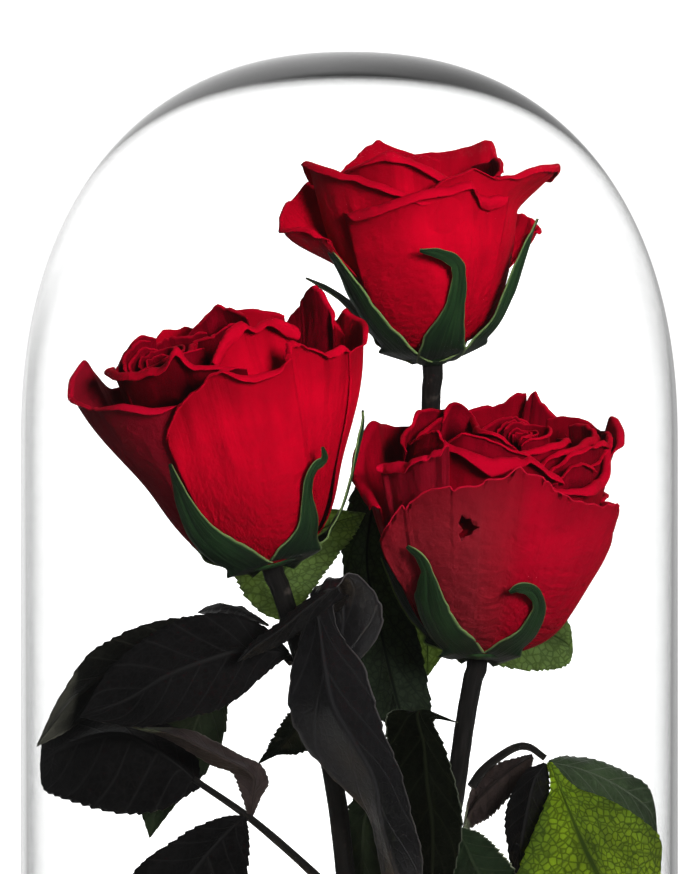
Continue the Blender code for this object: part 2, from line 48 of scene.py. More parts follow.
# Glass dome and base, in millimetres
OVERALL_HEIGHT = 322
DOME_RADIUS = 100
DOME_CROWN = 120
CROWN_POWER = 2.3
GLASS_WALL = 2.5
GLASS_HIGH = 1.6
GLASS_TOP = 3.6
CEILING_POWER = 2.45
BASE_RADIUS = 115
BASE_HEIGHT = 18
BASE_EDGE = 5
GROOVE_DEPTH = 5
GROOVE_PLAY = 1
SOCKET_DEPTH = 6
SOCKET_PLAY = 0.5
GAP = 0.35

# Plant, in millimetres
STEM_RADIUS = 3
PETIOLE_RADIUS = 1.1
PETAL_THICKNESS = 0.36
PETAL_LAYER = 1.15
PETAL_FOOT = 0.9
LEAF_THICKNESS = 0.36
STALK_HALF_WIDTH = 0.8
LEAF_TEETH = 21
TOOTH_DEPTH = 0.85
HUB_RADIUS = 8.5
HUB_HEIGHT = 5
SEPAL_THICKNESS = 0.5
SEPAL_CLEARANCE = 1.3
FLARE_START = 0.45
LIP_START = 0.94
HEART_LAYER = 4
SPIRAL_PETALS = 9
SPIRAL_TURN = 137.5

# Stage, in metres, watts and degrees
FLOOR_RINGS = (0.05, 0.3, 0.44)
FLOOR_DROP = 0.0002
FLOOR_FADE = (0.2, 0.42)
KEY_SPREAD = 34
CAMERA_PLACE = (0.0002, -1.5, 0.205)
CAMERA_LENS = 202.6

# Sides of the round shapes
DOME_SIDES = 160
BASE_SIDES = 144
HUB_SIDES = 40
SOCKET_SIDES = 40
STEM_SIDES = 28
PETIOLE_SIDES = 16
FLOOR_SIDES = 96


def rows(text):
    """A table's points: the numbers of each are parted by spaces, the points by commas."""
    return [tuple(float(value) for value in point.split()) for point in text.split(",")]


# Each rose: its cup, how far it leans left and forward in degrees, and the profile of its bud
ROSES = {
    "top": dict(
        cup=(25.4, 14, 229.3), left=2.5, forward=9, belly=28.6, belly_height=42, fullness=0.31, lift=0.5),
    "left": dict(
        cup=(-23.9, -24, 168.6), left=14, forward=16, belly=33.4, belly_height=40, fullness=0.29, lift=1.5),
    "right": dict(
        cup=(38.7, -14, 139.4), left=-4, forward=12, belly=32.8, belly_height=40, fullness=0.36, lift=2.5,
        look="shaded"),
}

# Each petal in its rose's own frame: how many layers it lies inwards, its lip's radius and angle, and its
# rim's points as azimuth, radius and height. Some have more:
# - flare: between which shares of its length it leaves the bud
# - spread: how wide its foot is, as a share of its rim
# - belly: how far it swells, and at which azimuth
# - crisp and ragged: how straight its rim runs from point to point, and how rough it is
PETALS = {
    "top": {
        "front": dict(layer=0, lip=(1.9, 165), rim=rows(
            "-58 33 46.3, -40 32 48.3, -19 31.5 51.4, 0 31 53.8, 14 31 54.6, 27 32 56.1, 31 31.5 52.7, "
            "36 31.5 50.9, 46 32 50.4, 54 34 50.5")),
        "flared": dict(layer=1, lip=(1.1, 120), flare=(0.66, 1), spread=0.95, rim=rows(
            "-134 34.5 55, -121 36 56, -108 39 54.3, -101 42.5 49.6, -95 43.5 47.7, -90 45 44.9, "
            "-85 45.3 41.6, -76 41 43.1, -69 37.5 41.1, -62 34.5 38.4")),
        "small": dict(layer=1, lip=(0.8, 120), flare=(0.6, 1), rim=rows(
            "129 33 41, 122 35 40.3, 115 37 38.4, 110 37.5 36.7, 104 34 35")),
        "hidden": dict(layer=1, lip=(1.5, 120), rim=rows("170 32 48, 198 34 51, 226 33 48")),
        "leftward": dict(layer=1.6, lip=(1.5, 140), flare=(0.3, 0.76), spread=0.95, rim=rows(
            "-104 33 52, -96 36 58, -87 37.8 62.6, -64 33 60.8, -42 30.5 58.3, -22 29 55.3, -9 28 52.8, "
            "8 27.5 49.4")),
        "pointed": dict(layer=2, lip=(1.3, 140), flare=(0.84, 1), belly=(3, 92), rim=rows(
            "-12 26 50, -3 27 53.2, 8 28 55.7, 24 29 58.6, 32 29 59.7, 45 30 56.8, 54 33 56.7, 66 36 58.2, "
            "72 39.5 59.1, 80 43 59, 88 41.5 56.9, 96 38.7 53.5, 104 36 50.2")),
        "rear_right": dict(layer=3, lip=(1.3, 120), rim=rows(
            "136 36 54.2, 137 35.5 58, 139 35 60.5, 141 35 65, 146 34 64.3, 159 32 62, 172 31 61.1, "
            "183 31 60.6, 193 31 59.2")),
        "rear_left": dict(layer=3, lip=(1.2, 110), rim=rows(
            "169 30 58.1, 182 31 60.4, 193 32 62.7, 204 33 66.1, 213 34 62.8, 217 34 61, 227 36 56.2")),
        "crest": dict(layer=4, lip=(1.5, 150), rim=rows(
            "-90 28 55, -67 28 59.2, -44 26 63.3, -28 25 66.9, -19 23 64.8, -8 22 62.6, 12 21 58.9, "
            "28 21 56, 44 21 52.8")),
    },
    "left": {
        "front": dict(layer=0, lip=(1.5, 110), rim=rows(
            "-31 38 51.4, -26 37.5 56.1, -21 37 60.6, -17 37 62.4, -12 37 63.7, -6 37.5 65.9, -2 38 68.7, "
            "3 38 68.6, 9 38 66.7, 17 38 65, 29 38.5 64, 37 39 66")),
        "leftmost": dict(layer=1, lip=(1.3, 130), flare=(0.55, 1), look="dull_and_shade", rim=rows(
            "-134 40 54, -123 43 56, -110 41.5 64, -100 41 70, -94 44.5 67.5, -87 46 63, -76 44 61.5, "
            "-68 42.5 61, -62 42 61.6, -47 40.5 63.2, -36 38.5 61.6, -27 37 60.8, -19 36 60.4")),
        "rightmost": dict(layer=1, lip=(1.2, 80), rim=rows(
            "68 42.5 59.4, 83 44 58.2, 90 44 61.3, 104 43.5 61.5, 113 43 63.3, 124 42 58.9, 133 41 53.8")),
        "front_right": dict(layer=2, lip=(1.4, 140), rim=rows(
            "34 38.5 66, 37 39 69.9, 39 39 71, 42 39 68.6, 47 40 65.8, 53 41 62.9, 59 42 62.8, "
            "63 42.5 63.1, 70 43 58.7")),
        "rear": dict(layer=2, lip=(1.2, 120), rim=rows(
            "150 42 61.7, 157 42 62.9, 162 42 64.2, 174 42 65.9, 179 42 67.8, 185 42 65.4, 190 42 63.3, "
            "196 42 64.2, 204 42 66, 214 40 62, 225 38 58")),
        "rear_right": dict(layer=3, lip=(0.9, 90), rim=rows(
            "112 40.5 57, 120 41 60.8, 130 42 64.8, 133 42 63.1, 136 42 65.6, 139 41 61.8, 143 41 60.2")),
        "inner_left": dict(layer=3, lip=(1.5, 130), look="hollow", rim=rows(
            "-90 33 68, -75 33.5 69.5, -62 34 70, -47 33.5 70.4, -34 33 71.1, -25 33 72.2, -18 31 76.8, "
            "-15 31 73.1, -10 31.5 70.5, -3 31.5 69.4, 8 32 67.7, 17 33 65.8")),
        "inner_front": dict(layer=4, lip=(2.1, 160), flare=(0.6, 1), rim=rows(
            "-3 29 68.3, 3 29 71.9, 14 28 76.3, 25 27 77, 32 27 74.6, 40 27 74.8, 51 27.5 73.8, "
            "58 29 71.5, 63 30 69.5")),
    },
    "right": {
        "shield": dict(layer=0, lip=(0.6, 50), look="shield", spread=1.02, crisp=0.75, ragged=0.7,
                       belly=(4, 74), rim=rows(
            "-56 38.5 38, -53 38.5 42, -50 38.5 44.1, -45 38 50.1, -42 38 49.4, -39 38 52.6, -34 38 55.5, "
            "-22 38 58.7, -19 38 57.9, -15 38 58.9, -8 38 60, -4 38 61.4, 3 38 62.7, 10 38.5 66.1, "
            "13 38.5 64.4, 18 38.5 64.4, 21 38.5 63.5, 24 38.5 61.6, 27 38.3 59.3, 31 38.3 58.3, "
            "37 38.3 55.9, 43 38.3 55.4, 51 38.5 53.4, 57 39 51.5, 61 39.5 52.7, 66 40.5 53, 69 40.5 50.3, "
            "71 40 47.5, 74 38.5 44, 77 38 40")),
        "leftmost": dict(layer=1, lip=(2.3, 190), rim=rows(
            "-143 40 60.4, -137 41 61.2, -125 42 62.6, -106 40.5 66, -97 42.2 59, -91 42.4 54.7, "
            "-82 40.5 49.3, -67 39 46")),
        "rightmost": dict(layer=0.8, lip=(0.8, 90), crisp=0.7, ragged=0.9, spread=0.95,
                          belly=(6, 100), rim=rows(
            "63 37 47.6, 70 37 49.5, 76 38.8 50.4, 82 34.2 49.6, 88 34.2 50.5, 96 34.5 51, 104 34 50.6, "
            "114 34 48.6")),
        "front_left": dict(layer=2, lip=(1.6, 150), look="dull_and_shade", rim=rows(
            "-66 39 58.5, -62 38 60.3, -50 36.5 61.6, -38 36 65.1, -30 36 68.2, -25 36 69.8")),
        "front": dict(layer=3, lip=(2.2, 160), rim=rows(
            "-32 33 70, -28 33 68.5, -19 33.5 67.8, -3 34 66.6, 6 34 66.4, 14 34.5 66.6, 19 34.5 67.2, "
            "28 35 64.3, 35 35 61.9, 39 35 58.5")),
        "inner_right": dict(layer=2, lip=(1.6, 140), flare=(0.8, 1), rim=rows(
            "27 37 59.2, 33 37.5 58.4, 42 37.8 58.6, 51 37.8 59.1, 64 36.6 60.5, 76 36 65.8, "
            "86 35.6 70.2")),
        "rear_right": dict(layer=3, lip=(1.3, 120), flare=(0.84, 1), rim=rows(
            "84 36.5 64, 94 38.5 67.5, 104 39.2 71.3, 112 39.5 72.6, 119 42 67.5, 123 42 65.9, "
            "129 41 66.4, 137 40 68, 145 39 67.8, 152 38 66.5")),
        "rear": dict(layer=2, lip=(1.1, 90), rim=rows(
            "161 38 60, 165 40 66.1, 165.5 41 72.3, 169 41 71.7, 175 40 68.6, 181 39 67.1, 186 38 66.9, "
            "196 38 65.5")),
    },
}

# Inner petals of each flower, with rims about the swirl's own centre; a low spiral under them closes it. The
# ones marked outer stand round the flower's own axis instead.
HEARTS = {
    "top": dict(centre=(0, 0), low=-4, petals=[
        dict(lip=(1.2, 120), rim=rows("60 24 56, 84 24 58.5, 110 24 60, 140 24 57")),
        dict(lip=(0.8, 100), rim=rows("-150 27 50, -120 29 53, -88 29 54, -50 25 52"), outer=True),
        dict(lip=(0.8, 100), rim=rows("50 27 46, 80 28 50, 112 28 51, 150 28 50"), outer=True)]),
    "left": dict(centre=(-17, -2), low=-3.5, petals=[
        dict(lip=(0.9, 110), rim=rows(
            "-70 10.4 66, -84 10.2 69, -98 10 70, -114 9.5 71, -131 9.5 71.6, -150 10 72.1, -170 11 71")),
        dict(lip=(0.8, 110), rim=rows(
            "-60 9 66, -88 8.6 68, -116 8 69.6, -142 8 70.1, -162 8 69.3, -182 8 67.8, -250 8 69, "
            "-339 8 69.4")),
        dict(lip=(0.6, 110), rim=rows(
            "-60 6.2 66, -104 5.5 68.6, -145 5.5 68.8, -168 5 68.9, -250 5 69.5, -342 5 69.2, "
            "-358 5 67.4")),
        dict(lip=(0.5, 90), rim=rows("-60 4 66.4, -120 3.4 68, -180 3 67.8, -300 3 67.7")),
        dict(lip=(1.2, 130), rim=rows("10 12 66, 30 13 68.5, 75 11 69.8, 110 12.5 68, 128 15 66.5")),
        dict(lip=(1.0, 120), rim=rows("50 11 67, 86 11 70, 112 16 69, 128 22 67, 133 28 67, 131 34 67.6")),
        dict(lip=(1.0, 120), rim=rows("190 17 66, 179 18 67.8, 168 19 68.3, 152 20 67.8, 138 22 67.9")),
        dict(lip=(1.1, 120), rim=rows(
            "170 29 62, 161 30 65.9, 152 31 69.2, 144 32 72.2, 135 32 70.9, 116 31 70")),
        dict(lip=(1.0, 120), rim=rows(
            "-51 14 66, -80 13.5 66.5, -112 13 67.2, -131 13 69.3, -151 14 71.2, -164 15 72.1, "
            "-178 16 70")),
        dict(lip=(1.0, 110), rim=rows("-40 17 66, -20 17 69, 0 17 71, 24 17.5 71.5, 50 19 71")),
        dict(lip=(0.9, 110), rim=rows(
            "148 39 60, 140 40 64.5, 136 40 67.5, 127 40.5 71.6, 123 40 69.8, 119 39.5 65, "
            "112 38 60"), outer=True),
    ]),
    "right": dict(centre=(8, 0), low=-3.5, petals=[
        dict(lip=(1.5, 150), rim=rows(
            "-122 28 67, -127 27 70.6, -129 26 72.7, -131 24 72, -136 20 69.4, -118 15 68.6, "
            "-80 13.5 69.6, -41 13 70.3, -27 11 67.7, -6 9.5 65.2")),
        dict(lip=(0.6, 110), rim=rows(
            "-131 7 68.1, -150 7 69.5, -176 7 69.8, -207 8 70.1, -250 8.6 70.6, -300 8 69, -342 7 69, "
            "-361 8 66.5")),
        dict(lip=(1.3, 150), rim=rows(
            "-34 14 63, -20 14 64.5, -2 13 65.1, 17 13 66.8, 38 14 68.6, 80 14 68.5, 125 14 66")),
        dict(lip=(1.0, 120), rim=rows("-91 34.4 61.7, -71 32 66.8, -56 31 71, -49 31 67.9")),
        dict(lip=(1.3, 130), rim=rows(
            "-70 29 64, -53 28 67.6, -41 27 72, -33 25 71.2, -25 23 70.2, -12 20 67.3, 3 19 66, 20 19 63")),
        dict(lip=(1.2, 120), rim=rows(
            "-80 35 62, -93 35 65.1, -107 34 66.8, -118 34 69.5, -133 33 68.7, -142 32 69.8")),
        dict(lip=(1.2, 120), rim=rows("-80 31 61, -92 30 63.5, -111 29 66.4, -126 29 67.4, -136 28 70")),
        dict(lip=(1.2, 120), rim=rows(
            "-125 15 65, -140 14.5 67.6, -167 15 69.9, -181 15 69.8, -196 14.5 67.5")),
        dict(lip=(0.8, 110), rim=rows(
            "-129 9.5 66.9, -152 10 68.9, -170 10 69.8, -191 9.5 69.3, -215 10 67")),
        dict(lip=(0.6, 100), rim=rows(
            "-132 5 66.6, -153 5 68.3, -178 5 68.7, -250 5 69.3, -349 5 69.3, -372 5 67.4")),
        dict(lip=(0.5, 90), rim=rows("-122 3 66.9, -160 3 67.8, -260 3 68.4, -362 3 68.3")),
        dict(lip=(1.9, 160), rim=rows(
            "14 17 61, 24 17 63.5, 42 18 67, 85 20 68.5, 112 24 67.5, 118 28 66")),
        dict(lip=(1.4, 140), rim=rows("20 22 61, 27 22 63.6, 38 24 67.2, 52 25 69, 68 26 69.5, 86 26 67")),
        dict(lip=(1.2, 130), rim=rows(
            "17 29 59, 23 29 61.8, 28 29.5 64.3, 35 29.5 65.9, 43 29 64.8, 50 28 62")),
        dict(lip=(1.2, 100), rim=rows(
            "166 36 60, 164 37 67.8, 162 38 72.7, 160 38.5 73.2, 155 38 70.2, 149 38 67, "
            "140 37 63"), outer=True),
        dict(lip=(1.3, 120), rim=rows("75 21 64, 95 22 68, 118 24 69.5, 140 24 68")),
        dict(lip=(1.3, 120), rim=rows("50 25 62, 72 26 66, 92 26.5 69, 112 27 68")),
    ]),
}

# Sepals from base to tip: azimuth, height, stand-off from the bud and half width
SEPALS = {
    "top": [
        rows(
            "12 0.5 0 6.5, 12 5 0 6.4, 15 11 0 4.6, 18 18 0.3 2.6, 19 26 0.8 1.9, 16 32 1.8 1.7, "
            "6 35.5 3 1.3, -5 37 4 0.4"),
        rows(
            "-47 0.5 0 6, -50 5 0 6.5, -57 12 0.5 6, -63 20 1 5.3, -67 28.5 2 4, -70 36 4 2.2, "
            "-74 40.5 6.5 0.4"),
        rows("-118 1 0 5, -118 6 1 5, -118 12 4 3.5, -118 17 8 2, -118 20.5 13 1.5, -118 23 18 0.4"),
        rows(
            "62 0.5 0 5, 64 5 0.5 5.5, 66 11 2 4.6, 66 19 2.8 4.2, 68 28 3.2 3, 72 36.5 4 1.9, "
            "75 42.5 5 0.4"),
        rows("160 1 0 6, 165 8 0 6, 170 18 1 4.5, 174 26 2.5 2.5, 176 31 4 0.4"),
    ],
    "left": [
        rows(
            "-14 1 0 5, -21 6 0 6, -30 13 0 6, -34 20 0.3 4.8, -34 29.5 0.8 2.8, -32 37.5 1.5 1.6, "
            "-30 45 2.5 0.4"),
        rows(
            "22 1 0 6, 29 6.5 0 6.2, 34 14 0.3 3.6, 33 22.5 0.6 1.6, 34 28.5 1 1.5, 37 32.5 2 1.3, "
            "42 34 3 1, 41 38 3.5 0.3"),
        rows("80 1 0 4, 80 6 0 4, 76 13 1 2.2, 75 21.5 2 1.6, 76 29 3 2.2, 78 35.5 4 1.8, 76 40.5 4.5 0.4"),
        rows("140 1 0 6, 143 8 0 6, 147 18 1 4, 150 27 3 0.4"),
        rows("-118 1 0 6, -120 8 0 6, -124 17 1 4, -126 25 2 0.4"),
    ],
    "right": [
        rows(
            "-14 1 0 4.5, -22 5.5 0 5.5, -31 10.5 0 5.8, -35 18 0.3 5.5, -34 25 0.8 3.6, -33 31 1.3 1.8, "
            "-35 36 2.5 1.5, -40 39 4 0.4"),
        rows(
            "18 1 0 5, 27 6.5 0 4.5, 35 12 0.5 3.6, 35 20 1 2.2, 30 25 2 1.6, 22 29 3.5 1.5, "
            "15 30 4.5 1.2, 11 28.5 4.5 0.4"),
        rows("104 1 0 5, 106 7 0 5.5, 109 16 1 3.6, 112 25 2.5 0.4"),
        rows("178 1 0 6, 180 8 0 6, 184 17 1 4, 186 25 3 0.4"),
        rows("-108 1 0 6, -108 8 0 6, -104 18 1 4, -100 27 2 0.4"),
    ],
}

STEMS = {
    "top": rows("14 9 0, 15.5 12 70, 18.5 17 120, 22.5 21 167, 24.8 18 205, 25.4 14 229.3"),
    "left": rows("5 -8 0, -1.3 -12 73, -5.2 -15 103, -11.5 -18.5 129, -17.7 -21.5 150, -23.9 -24 168.6"),
    "right": rows("21 -10 0, 28 -12 72.6, 32 -13 98, 35 -13.6 119.4, 38.7 -14 139.4"),
}
PETIOLES = {
    "left": rows("-4.6 -13.6 67, -15 -15.5 77, -30 -17 90, -47 -15 101.6"),
    "right": rows("36.9 -12.5 99.1, 41 -10.6 104.5, 49 -10 110.2, 54.1 -10 111, 59.3 -10 107.6"),
    "back": rows("-17.3 -15.4 137, -23 -10 142, -30 -6 144, -38 -4 143"),
}

# Leaflets, cut across from stalk to tip: a cut has a point on one edge, on the midrib and on the other edge
LEAVES = {
    "left_front": dict(look="dark", cut=rows(
        "-18 -24 140, -25 -22 147.5 -26 -29 140.5 -24 -33 135, -35 -26 152 -33 -36 141 -32.5 -46 128, "
        "-47.5 -28 151 -43.5 -39 138 -42.5 -50 123.5, -59.5 -29 146 -54.5 -39 133.5 -53 -49 120.5, "
        "-71 -30 136 -66 -36 126.5 -65 -42 119, -80 -33 121.5")),
    "left_back": dict(look="pale", cut=rows(
        "-26.5 0 144.5, -36.5 4 148.5 -38 2 143 -38 -2 134.5, -49 6 150 -50 2 140.5 -51.5 -4 128, "
        "-61.5 6 148 -62.5 0 137.5 -63.5 -6 123.5, -72.5 4 143.5 -72.5 -2 134 -74 -10 120, "
        "-81.5 2 136.5 -80 -6 128 -81 -12 119, -88.5 -2 125 -85 -9 123.5 -87 -12 115, -95 -8 111")),
    "left_edge": dict(look="dark", cut=rows(
        "-24.5 -4 147.5, -31 2 152 -31 -2 151 -31 -10 149.5, -36 6 153.5 -36 0 153 -36 -10 150.5, "
        "-41.5 8 153.5 -41.5 2 153 -41.5 -8 150.5, -46.5 8 151")),
    "left_low": dict(look="dark", cut=rows(
        "-45 -15 99.5, -46 -11 108 -51 -15 105 -47.5 -17 97.5, -51.5 -7 116 -59.5 -14 111 -55.5 -18 93, "
        "-63.5 -4 120 -68.5 -12 115 -66.5 -17 91.5, -77 0 121 -78 -9 114 -77.5 -14 93, "
        "-87.5 2 118 -88 -4 110 -87.5 -8 95.5, -94 3 113 -93 0 106.5 -93.5 -2 98, -95 2 104.5")),
    "left_curled": dict(look="brown", cut=rows(
        "-29.8 -17 90.3, -26.5 -16 96.5 -29 -21 97.5 -32 -19 95.5, "
        "-24.5 -14 101 -28.5 -24 102.5 -33.5 -20 100, -27 -16 106 -32 -28 106 -35.5 -22 104, "
        "-33 -20 109 -37.5 -31 109 -41 -26 106.5, -40.5 -24 113.5 -44.5 -33 112.5 -49 -28 111.5, "
        "-49 -28 117.5 -53 -35 116.5 -56 -30 115.5, -65 -33 118.5")),
    "left_hanging": dict(look="olive", cut=rows(
        "-35.5 -1 138.5, -46.5 4 130 -42 6 127.5 -37 4 124, -54.5 10 119.5 -47 12 117 -38.5 9 113, "
        "-61 12 106.5 -52.5 15 103 -44 12 102, -64.5 11 93.5 -59 14 91.5 -52.5 11 93, -61.5 12 81.5")),
    "left_bottom": dict(look="dark", cut=rows(
        "-31.5 -19 90.5, -37.5 -19 90.5 -35 -24 87.5 -30 -25 85, -46.5 -19 87 -41 -27 81.5 -30 -31 76.5, "
        "-57 -18 80.5 -47.5 -28 73.5 -33 -35 67, -64.5 -18 73.5 -55 -28 65 -40.5 -35 59.5, "
        "-68.5 -19 64 -61.5 -27 58 -50.5 -31 54, -67.5 -25 51")),
    "middle_small": dict(look="olive", cut=rows(
        "-11 -14 124.5, -16 -10 123 -14 -10 120 -10 -12 117, -20 -4 119 -17 -6 115.5 -10.5 -8 111.5, "
        "-23.5 0 113 -20.5 -2 111 -15.5 -4 108.5, -25.5 2 109 -24 1 108 -21.5 -1 108, -28 2 105")),
    "middle_green": dict(look="green", cut=rows(
        "-17.5 -16 149, -26.5 -10 151.5 -20 -10 155.5 -13 -12 155.5, "
        "-33 -4 158.5 -20.5 -4 162.5 -8.5 -6 161.5, -35 2 167 -17.5 2 169 -4 -1 167.5, "
        "-26.5 6 176 -12 5 174.5 0 2 173, -14 8 183 -4.5 8 178.5 2.5 6 176.5, 5 9 181.5")),
    "middle_hanging": dict(look="veined", cut=rows(
        "19.5 20 184, 4 18 191 11 17 192.5 15 15 185.5, -1.5 17 179.5 7 14 182 15 12 172, "
        "-2 15 164 5.5 11 165.5 16 9 158, 1 12 147 9 8 148.5 21 7 144, 4.5 9 130.5 13 4 130.5 24 4 129, "
        "8 6 119.5 16 1 119.5 24.5 2 120, 16.5 1 115.5")),
    "middle_edge": dict(look="dark", cut=rows(
        "-15.5 -25 145.5, -9.5 -34 155 -7 -33 154.5 -4 -30 152.5, -7 -40 160 -4 -40 160 -0.5 -36 157.5, "
        "-13.5 -45 156 -12 -47 155 -9.5 -42 152, -21 -47 150 -20 -49 148.5 -17.5 -44 145, "
        "-28.5 -48 144.5 -28 -50 143 -26 -46 141, -33 -49 138.5")),
    "middle_drooping": dict(look="glossy", cut=rows(
        "-8 -21 128, -9.5 -18 138 -3.5 -22 139.5 5.5 -22 140.5, -11 -20 148.5 -1.5 -24 150.5 10 -24 149.5, "
        "-11 -25 157.5 -3 -28 160 7.5 -28 158.5, -10.5 -33 160 -6.5 -34 162.5 0 -33 164.5, "
        "-13 -38 154 -9.5 -41 156 -4.5 -38 156.5, -14.5 -37 146 -8.5 -42 147 -3 -37 147, "
        "-17 -38 136.5 -7 -45 136.5 4 -38 137.5, -18 -38 125.5 -4.5 -47 125.5 7.5 -38 126.5, "
        "-14.5 -38 115 1.5 -48 115 11 -38 115.5, -5 -38 103.5 7.5 -47 103.5 15.5 -38 104.5, "
        "5 -38 93.5 9.5 -45 90.5 18.5 -37 92.5, 8 -37 83 12.5 -42 79.5 21.5 -36 81.5, "
        "10.5 -36 72.5 15.5 -39 70.5 21.5 -35 72, 18.5 -35 63")),
    "middle_dark": dict(look="deep", cut=rows(
        "32 -17 119, 13 -20 122.5 21 -22 122.5 25.5 -20 119.5, 11 -20 114 22.5 -24 112.5 28.5 -21 112, "
        "11.5 -20 102 23.5 -25 100.5 32 -21 100.5, 14 -20 90 25 -25 88.5 34 -21 88.5, "
        "16.5 -20 77 25 -24 75.5 32 -20 75.5, 19 -20 67 24 -23 66 29 -20 66.5, 23.5 -20 56.5")),
    "middle_rimmed": dict(look="rimmed", cut=rows(
        "31 -17 87.5, 30.5 -19 81.5 34.5 -20 83 39.5 -18 85.5, 31.5 -20 71.5 38 -22 75.5 45.5 -19 80, "
        "36.5 -20 61 43.5 -22 66 50.5 -18 72.5, 51.5 -18 58")),
    "right_bright": dict(look="bright", cut=rows(
        "60.5 -12 106.5, 60.5 -14 98.5 63 -15 99.5 68.5 -11 99, 57 -18 90 66 -20 92 78 -9 95.5, "
        "53.5 -21 81.5 69.5 -22 83.5 88.5 -6 89.5, 49.5 -23 71.5 74 -23 74 95.5 -3 83, "
        "49 -24 61.5 79 -23 64.5 95.5 -2 72.5, 55 -24 52.5 83.5 -22 56.5 94.5 -4 61, "
        "69.5 -22 46.5 87.5 -20 50 92.5 -8 52.5, 91 -14 45")),
    "right_glossy": dict(look="grey", cut=rows(
        "60.5 -8 106, 66 0 107.5 68 -3 104.5 67.5 -5 99, 75 6 106 77 1 101 76.5 -3 94, "
        "84.5 9 102.5 85 4 96.5 84.5 0 89, 91.5 10 98 91.5 6 91.5 90.5 2 83.5, 94 9 92 94 6 87 93.5 4 81, "
        "95 6 79")),
    "right_dark": dict(look="dark", cut=rows(
        "59.5 -11 106, 53 -11 103.5 56 -14 101.5 60.5 -11 99.5, 48.5 -10 95.5 54 -15 93.5 60.5 -12 93, "
        "47 -10 88 52.5 -15 86 59.5 -12 85, 48 -10 80 51.5 -14 78 57.5 -12 76.5, "
        "49.5 -10 70 51.5 -13 69.5 55.5 -11 68.5, 51.5 -12 61.5")),
    "right_pale": dict(look="brown", cut=rows(
        "55.5 -8 108, 52 -2 107.5 50 -2 104 54.5 -4 102, 45 3 105 45 2 99.5 49 0 95.5, "
        "40 7 100.5 40 6 94.5 43.5 4 89, 37 9 95 37 9 90 39 7 86, 34.5 10 83")),
    "right_upper": dict(look="green", cut=rows(
        "25.5 18 148.5, 34 19 154.5 35.5 19 147 35.5 16 139.5, 46.5 19 158 46.5 19 146 47 14 134, "
        "59 17 156 59 17 145 59 12 133, 67.5 15 148 66 15 142 67 12 134.5, 69 14 139")),
    "middle_patch": dict(look="green", cut=rows(
        "25 16 155.5, 21.5 13 151 25 13 150.5 28 13 150, 19 10 144.5 24 10 144.5 29.5 10 145, "
        "20 8 138 24 9 138 29 8 139, 24 8 131.5")),
    "middle_low": dict(look="olive", cut=rows(
        "15 13 105, 5.5 8 98.5 10 7 97.5 15 8 96, -1 2 90.5 5 0 89.5 13 2 88, -2 0 79 4 -2 78 11 0 77.5, "
        "-1 -1 67.5 3.5 -3 66.5 8.5 -1 66.5, 3.5 -2 56.5")),
}


# Shapes


def smooth_step(t):
    t = np.clip(t, 0, 1)
    return t * t * (3 - 2 * t)


def spline(points, t, crisp=0.0):
    """Points on the Catmull-Rom curve through the given ones, for t from 0 to 1.

    The share crisp pulls the curve to straight runs.
    """
    p = np.asarray(points, float)
    last = len(p) - 1
    place = np.clip(np.atleast_1d(t), 0, 1) * last
    i = np.minimum(place.astype(int), last - 1)
    f = (place - i)[:, None]
    pad = np.vstack([2 * p[0] - p[1], p, 2 * p[-1] - p[-2]])
    a, b, c, d = pad[i], pad[i + 1], pad[i + 2], pad[i + 3]
    bend = (2 * a - 5 * b + 4 * c - d) * f**2
    smooth = 0.5 * (2 * b + (c - a) * f + bend + (3 * b - a - 3 * c + d) * f**3)
    return smooth * (1 - crisp) + (b + (c - b) * f) * crisp


def wobble(t, knots, seed):
    """Smooth noise between -1 and 1 along t, which runs from 0 to 1."""
    values = np.random.default_rng(seed).uniform(-1, 1, knots + 2)
    place = np.clip(t, 0, 1) * knots
    i = place.astype(int)
    f = smooth_step(place - i)
    return values[i] * (1 - f) + values[i + 1] * f


def ripple(u, v, knots_u, knots_v, seed):
    """Smooth noise between -1 and 1 over a grid of u by v."""
    values = np.random.default_rng(seed).uniform(-1, 1, (knots_u + 2, knots_v + 2))
    a, b = np.clip(u, 0, 1) * knots_u, np.clip(v, 0, 1) * knots_v
    i, j = a.astype(int), b.astype(int)
    f, g = smooth_step(a - i)[:, None], smooth_step(b - j)[None, :]
    near = values[i][:, j] * (1 - f) + values[i + 1][:, j] * f
    far = values[i][:, j + 1] * (1 - f) + values[i + 1][:, j + 1] * f
    return near * (1 - g) + far * g


def direction(azimuth):
    angle = np.radians(azimuth)
    return np.stack([np.sin(angle), -np.cos(angle), np.zeros_like(angle)], axis=-1)


def make(name, points, faces, look, uv=None, smooth=True):
    """An object from points in metres; uv holds one pair for each point."""
    mesh = bpy.data.meshes.new(name)
    mesh.from_pydata(np.asarray(points).tolist(), [], [list(f) for f in faces])
    mesh.polygons.foreach_set("use_smooth", [smooth] * len(mesh.polygons))
    if uv is not None:
        loops = np.empty(len(mesh.loops), np.int32)
        mesh.loops.foreach_get("vertex_index", loops)
        layer = mesh.uv_layers.new(name="along")
        layer.data.foreach_set("uv", np.asarray(uv)[loops].astype(np.float32).ravel())
    mesh.materials.append(look)
    mesh.update()
    obj = bpy.data.objects.new(name, mesh)
    bpy.context.scene.collection.objects.link(obj)
    return obj


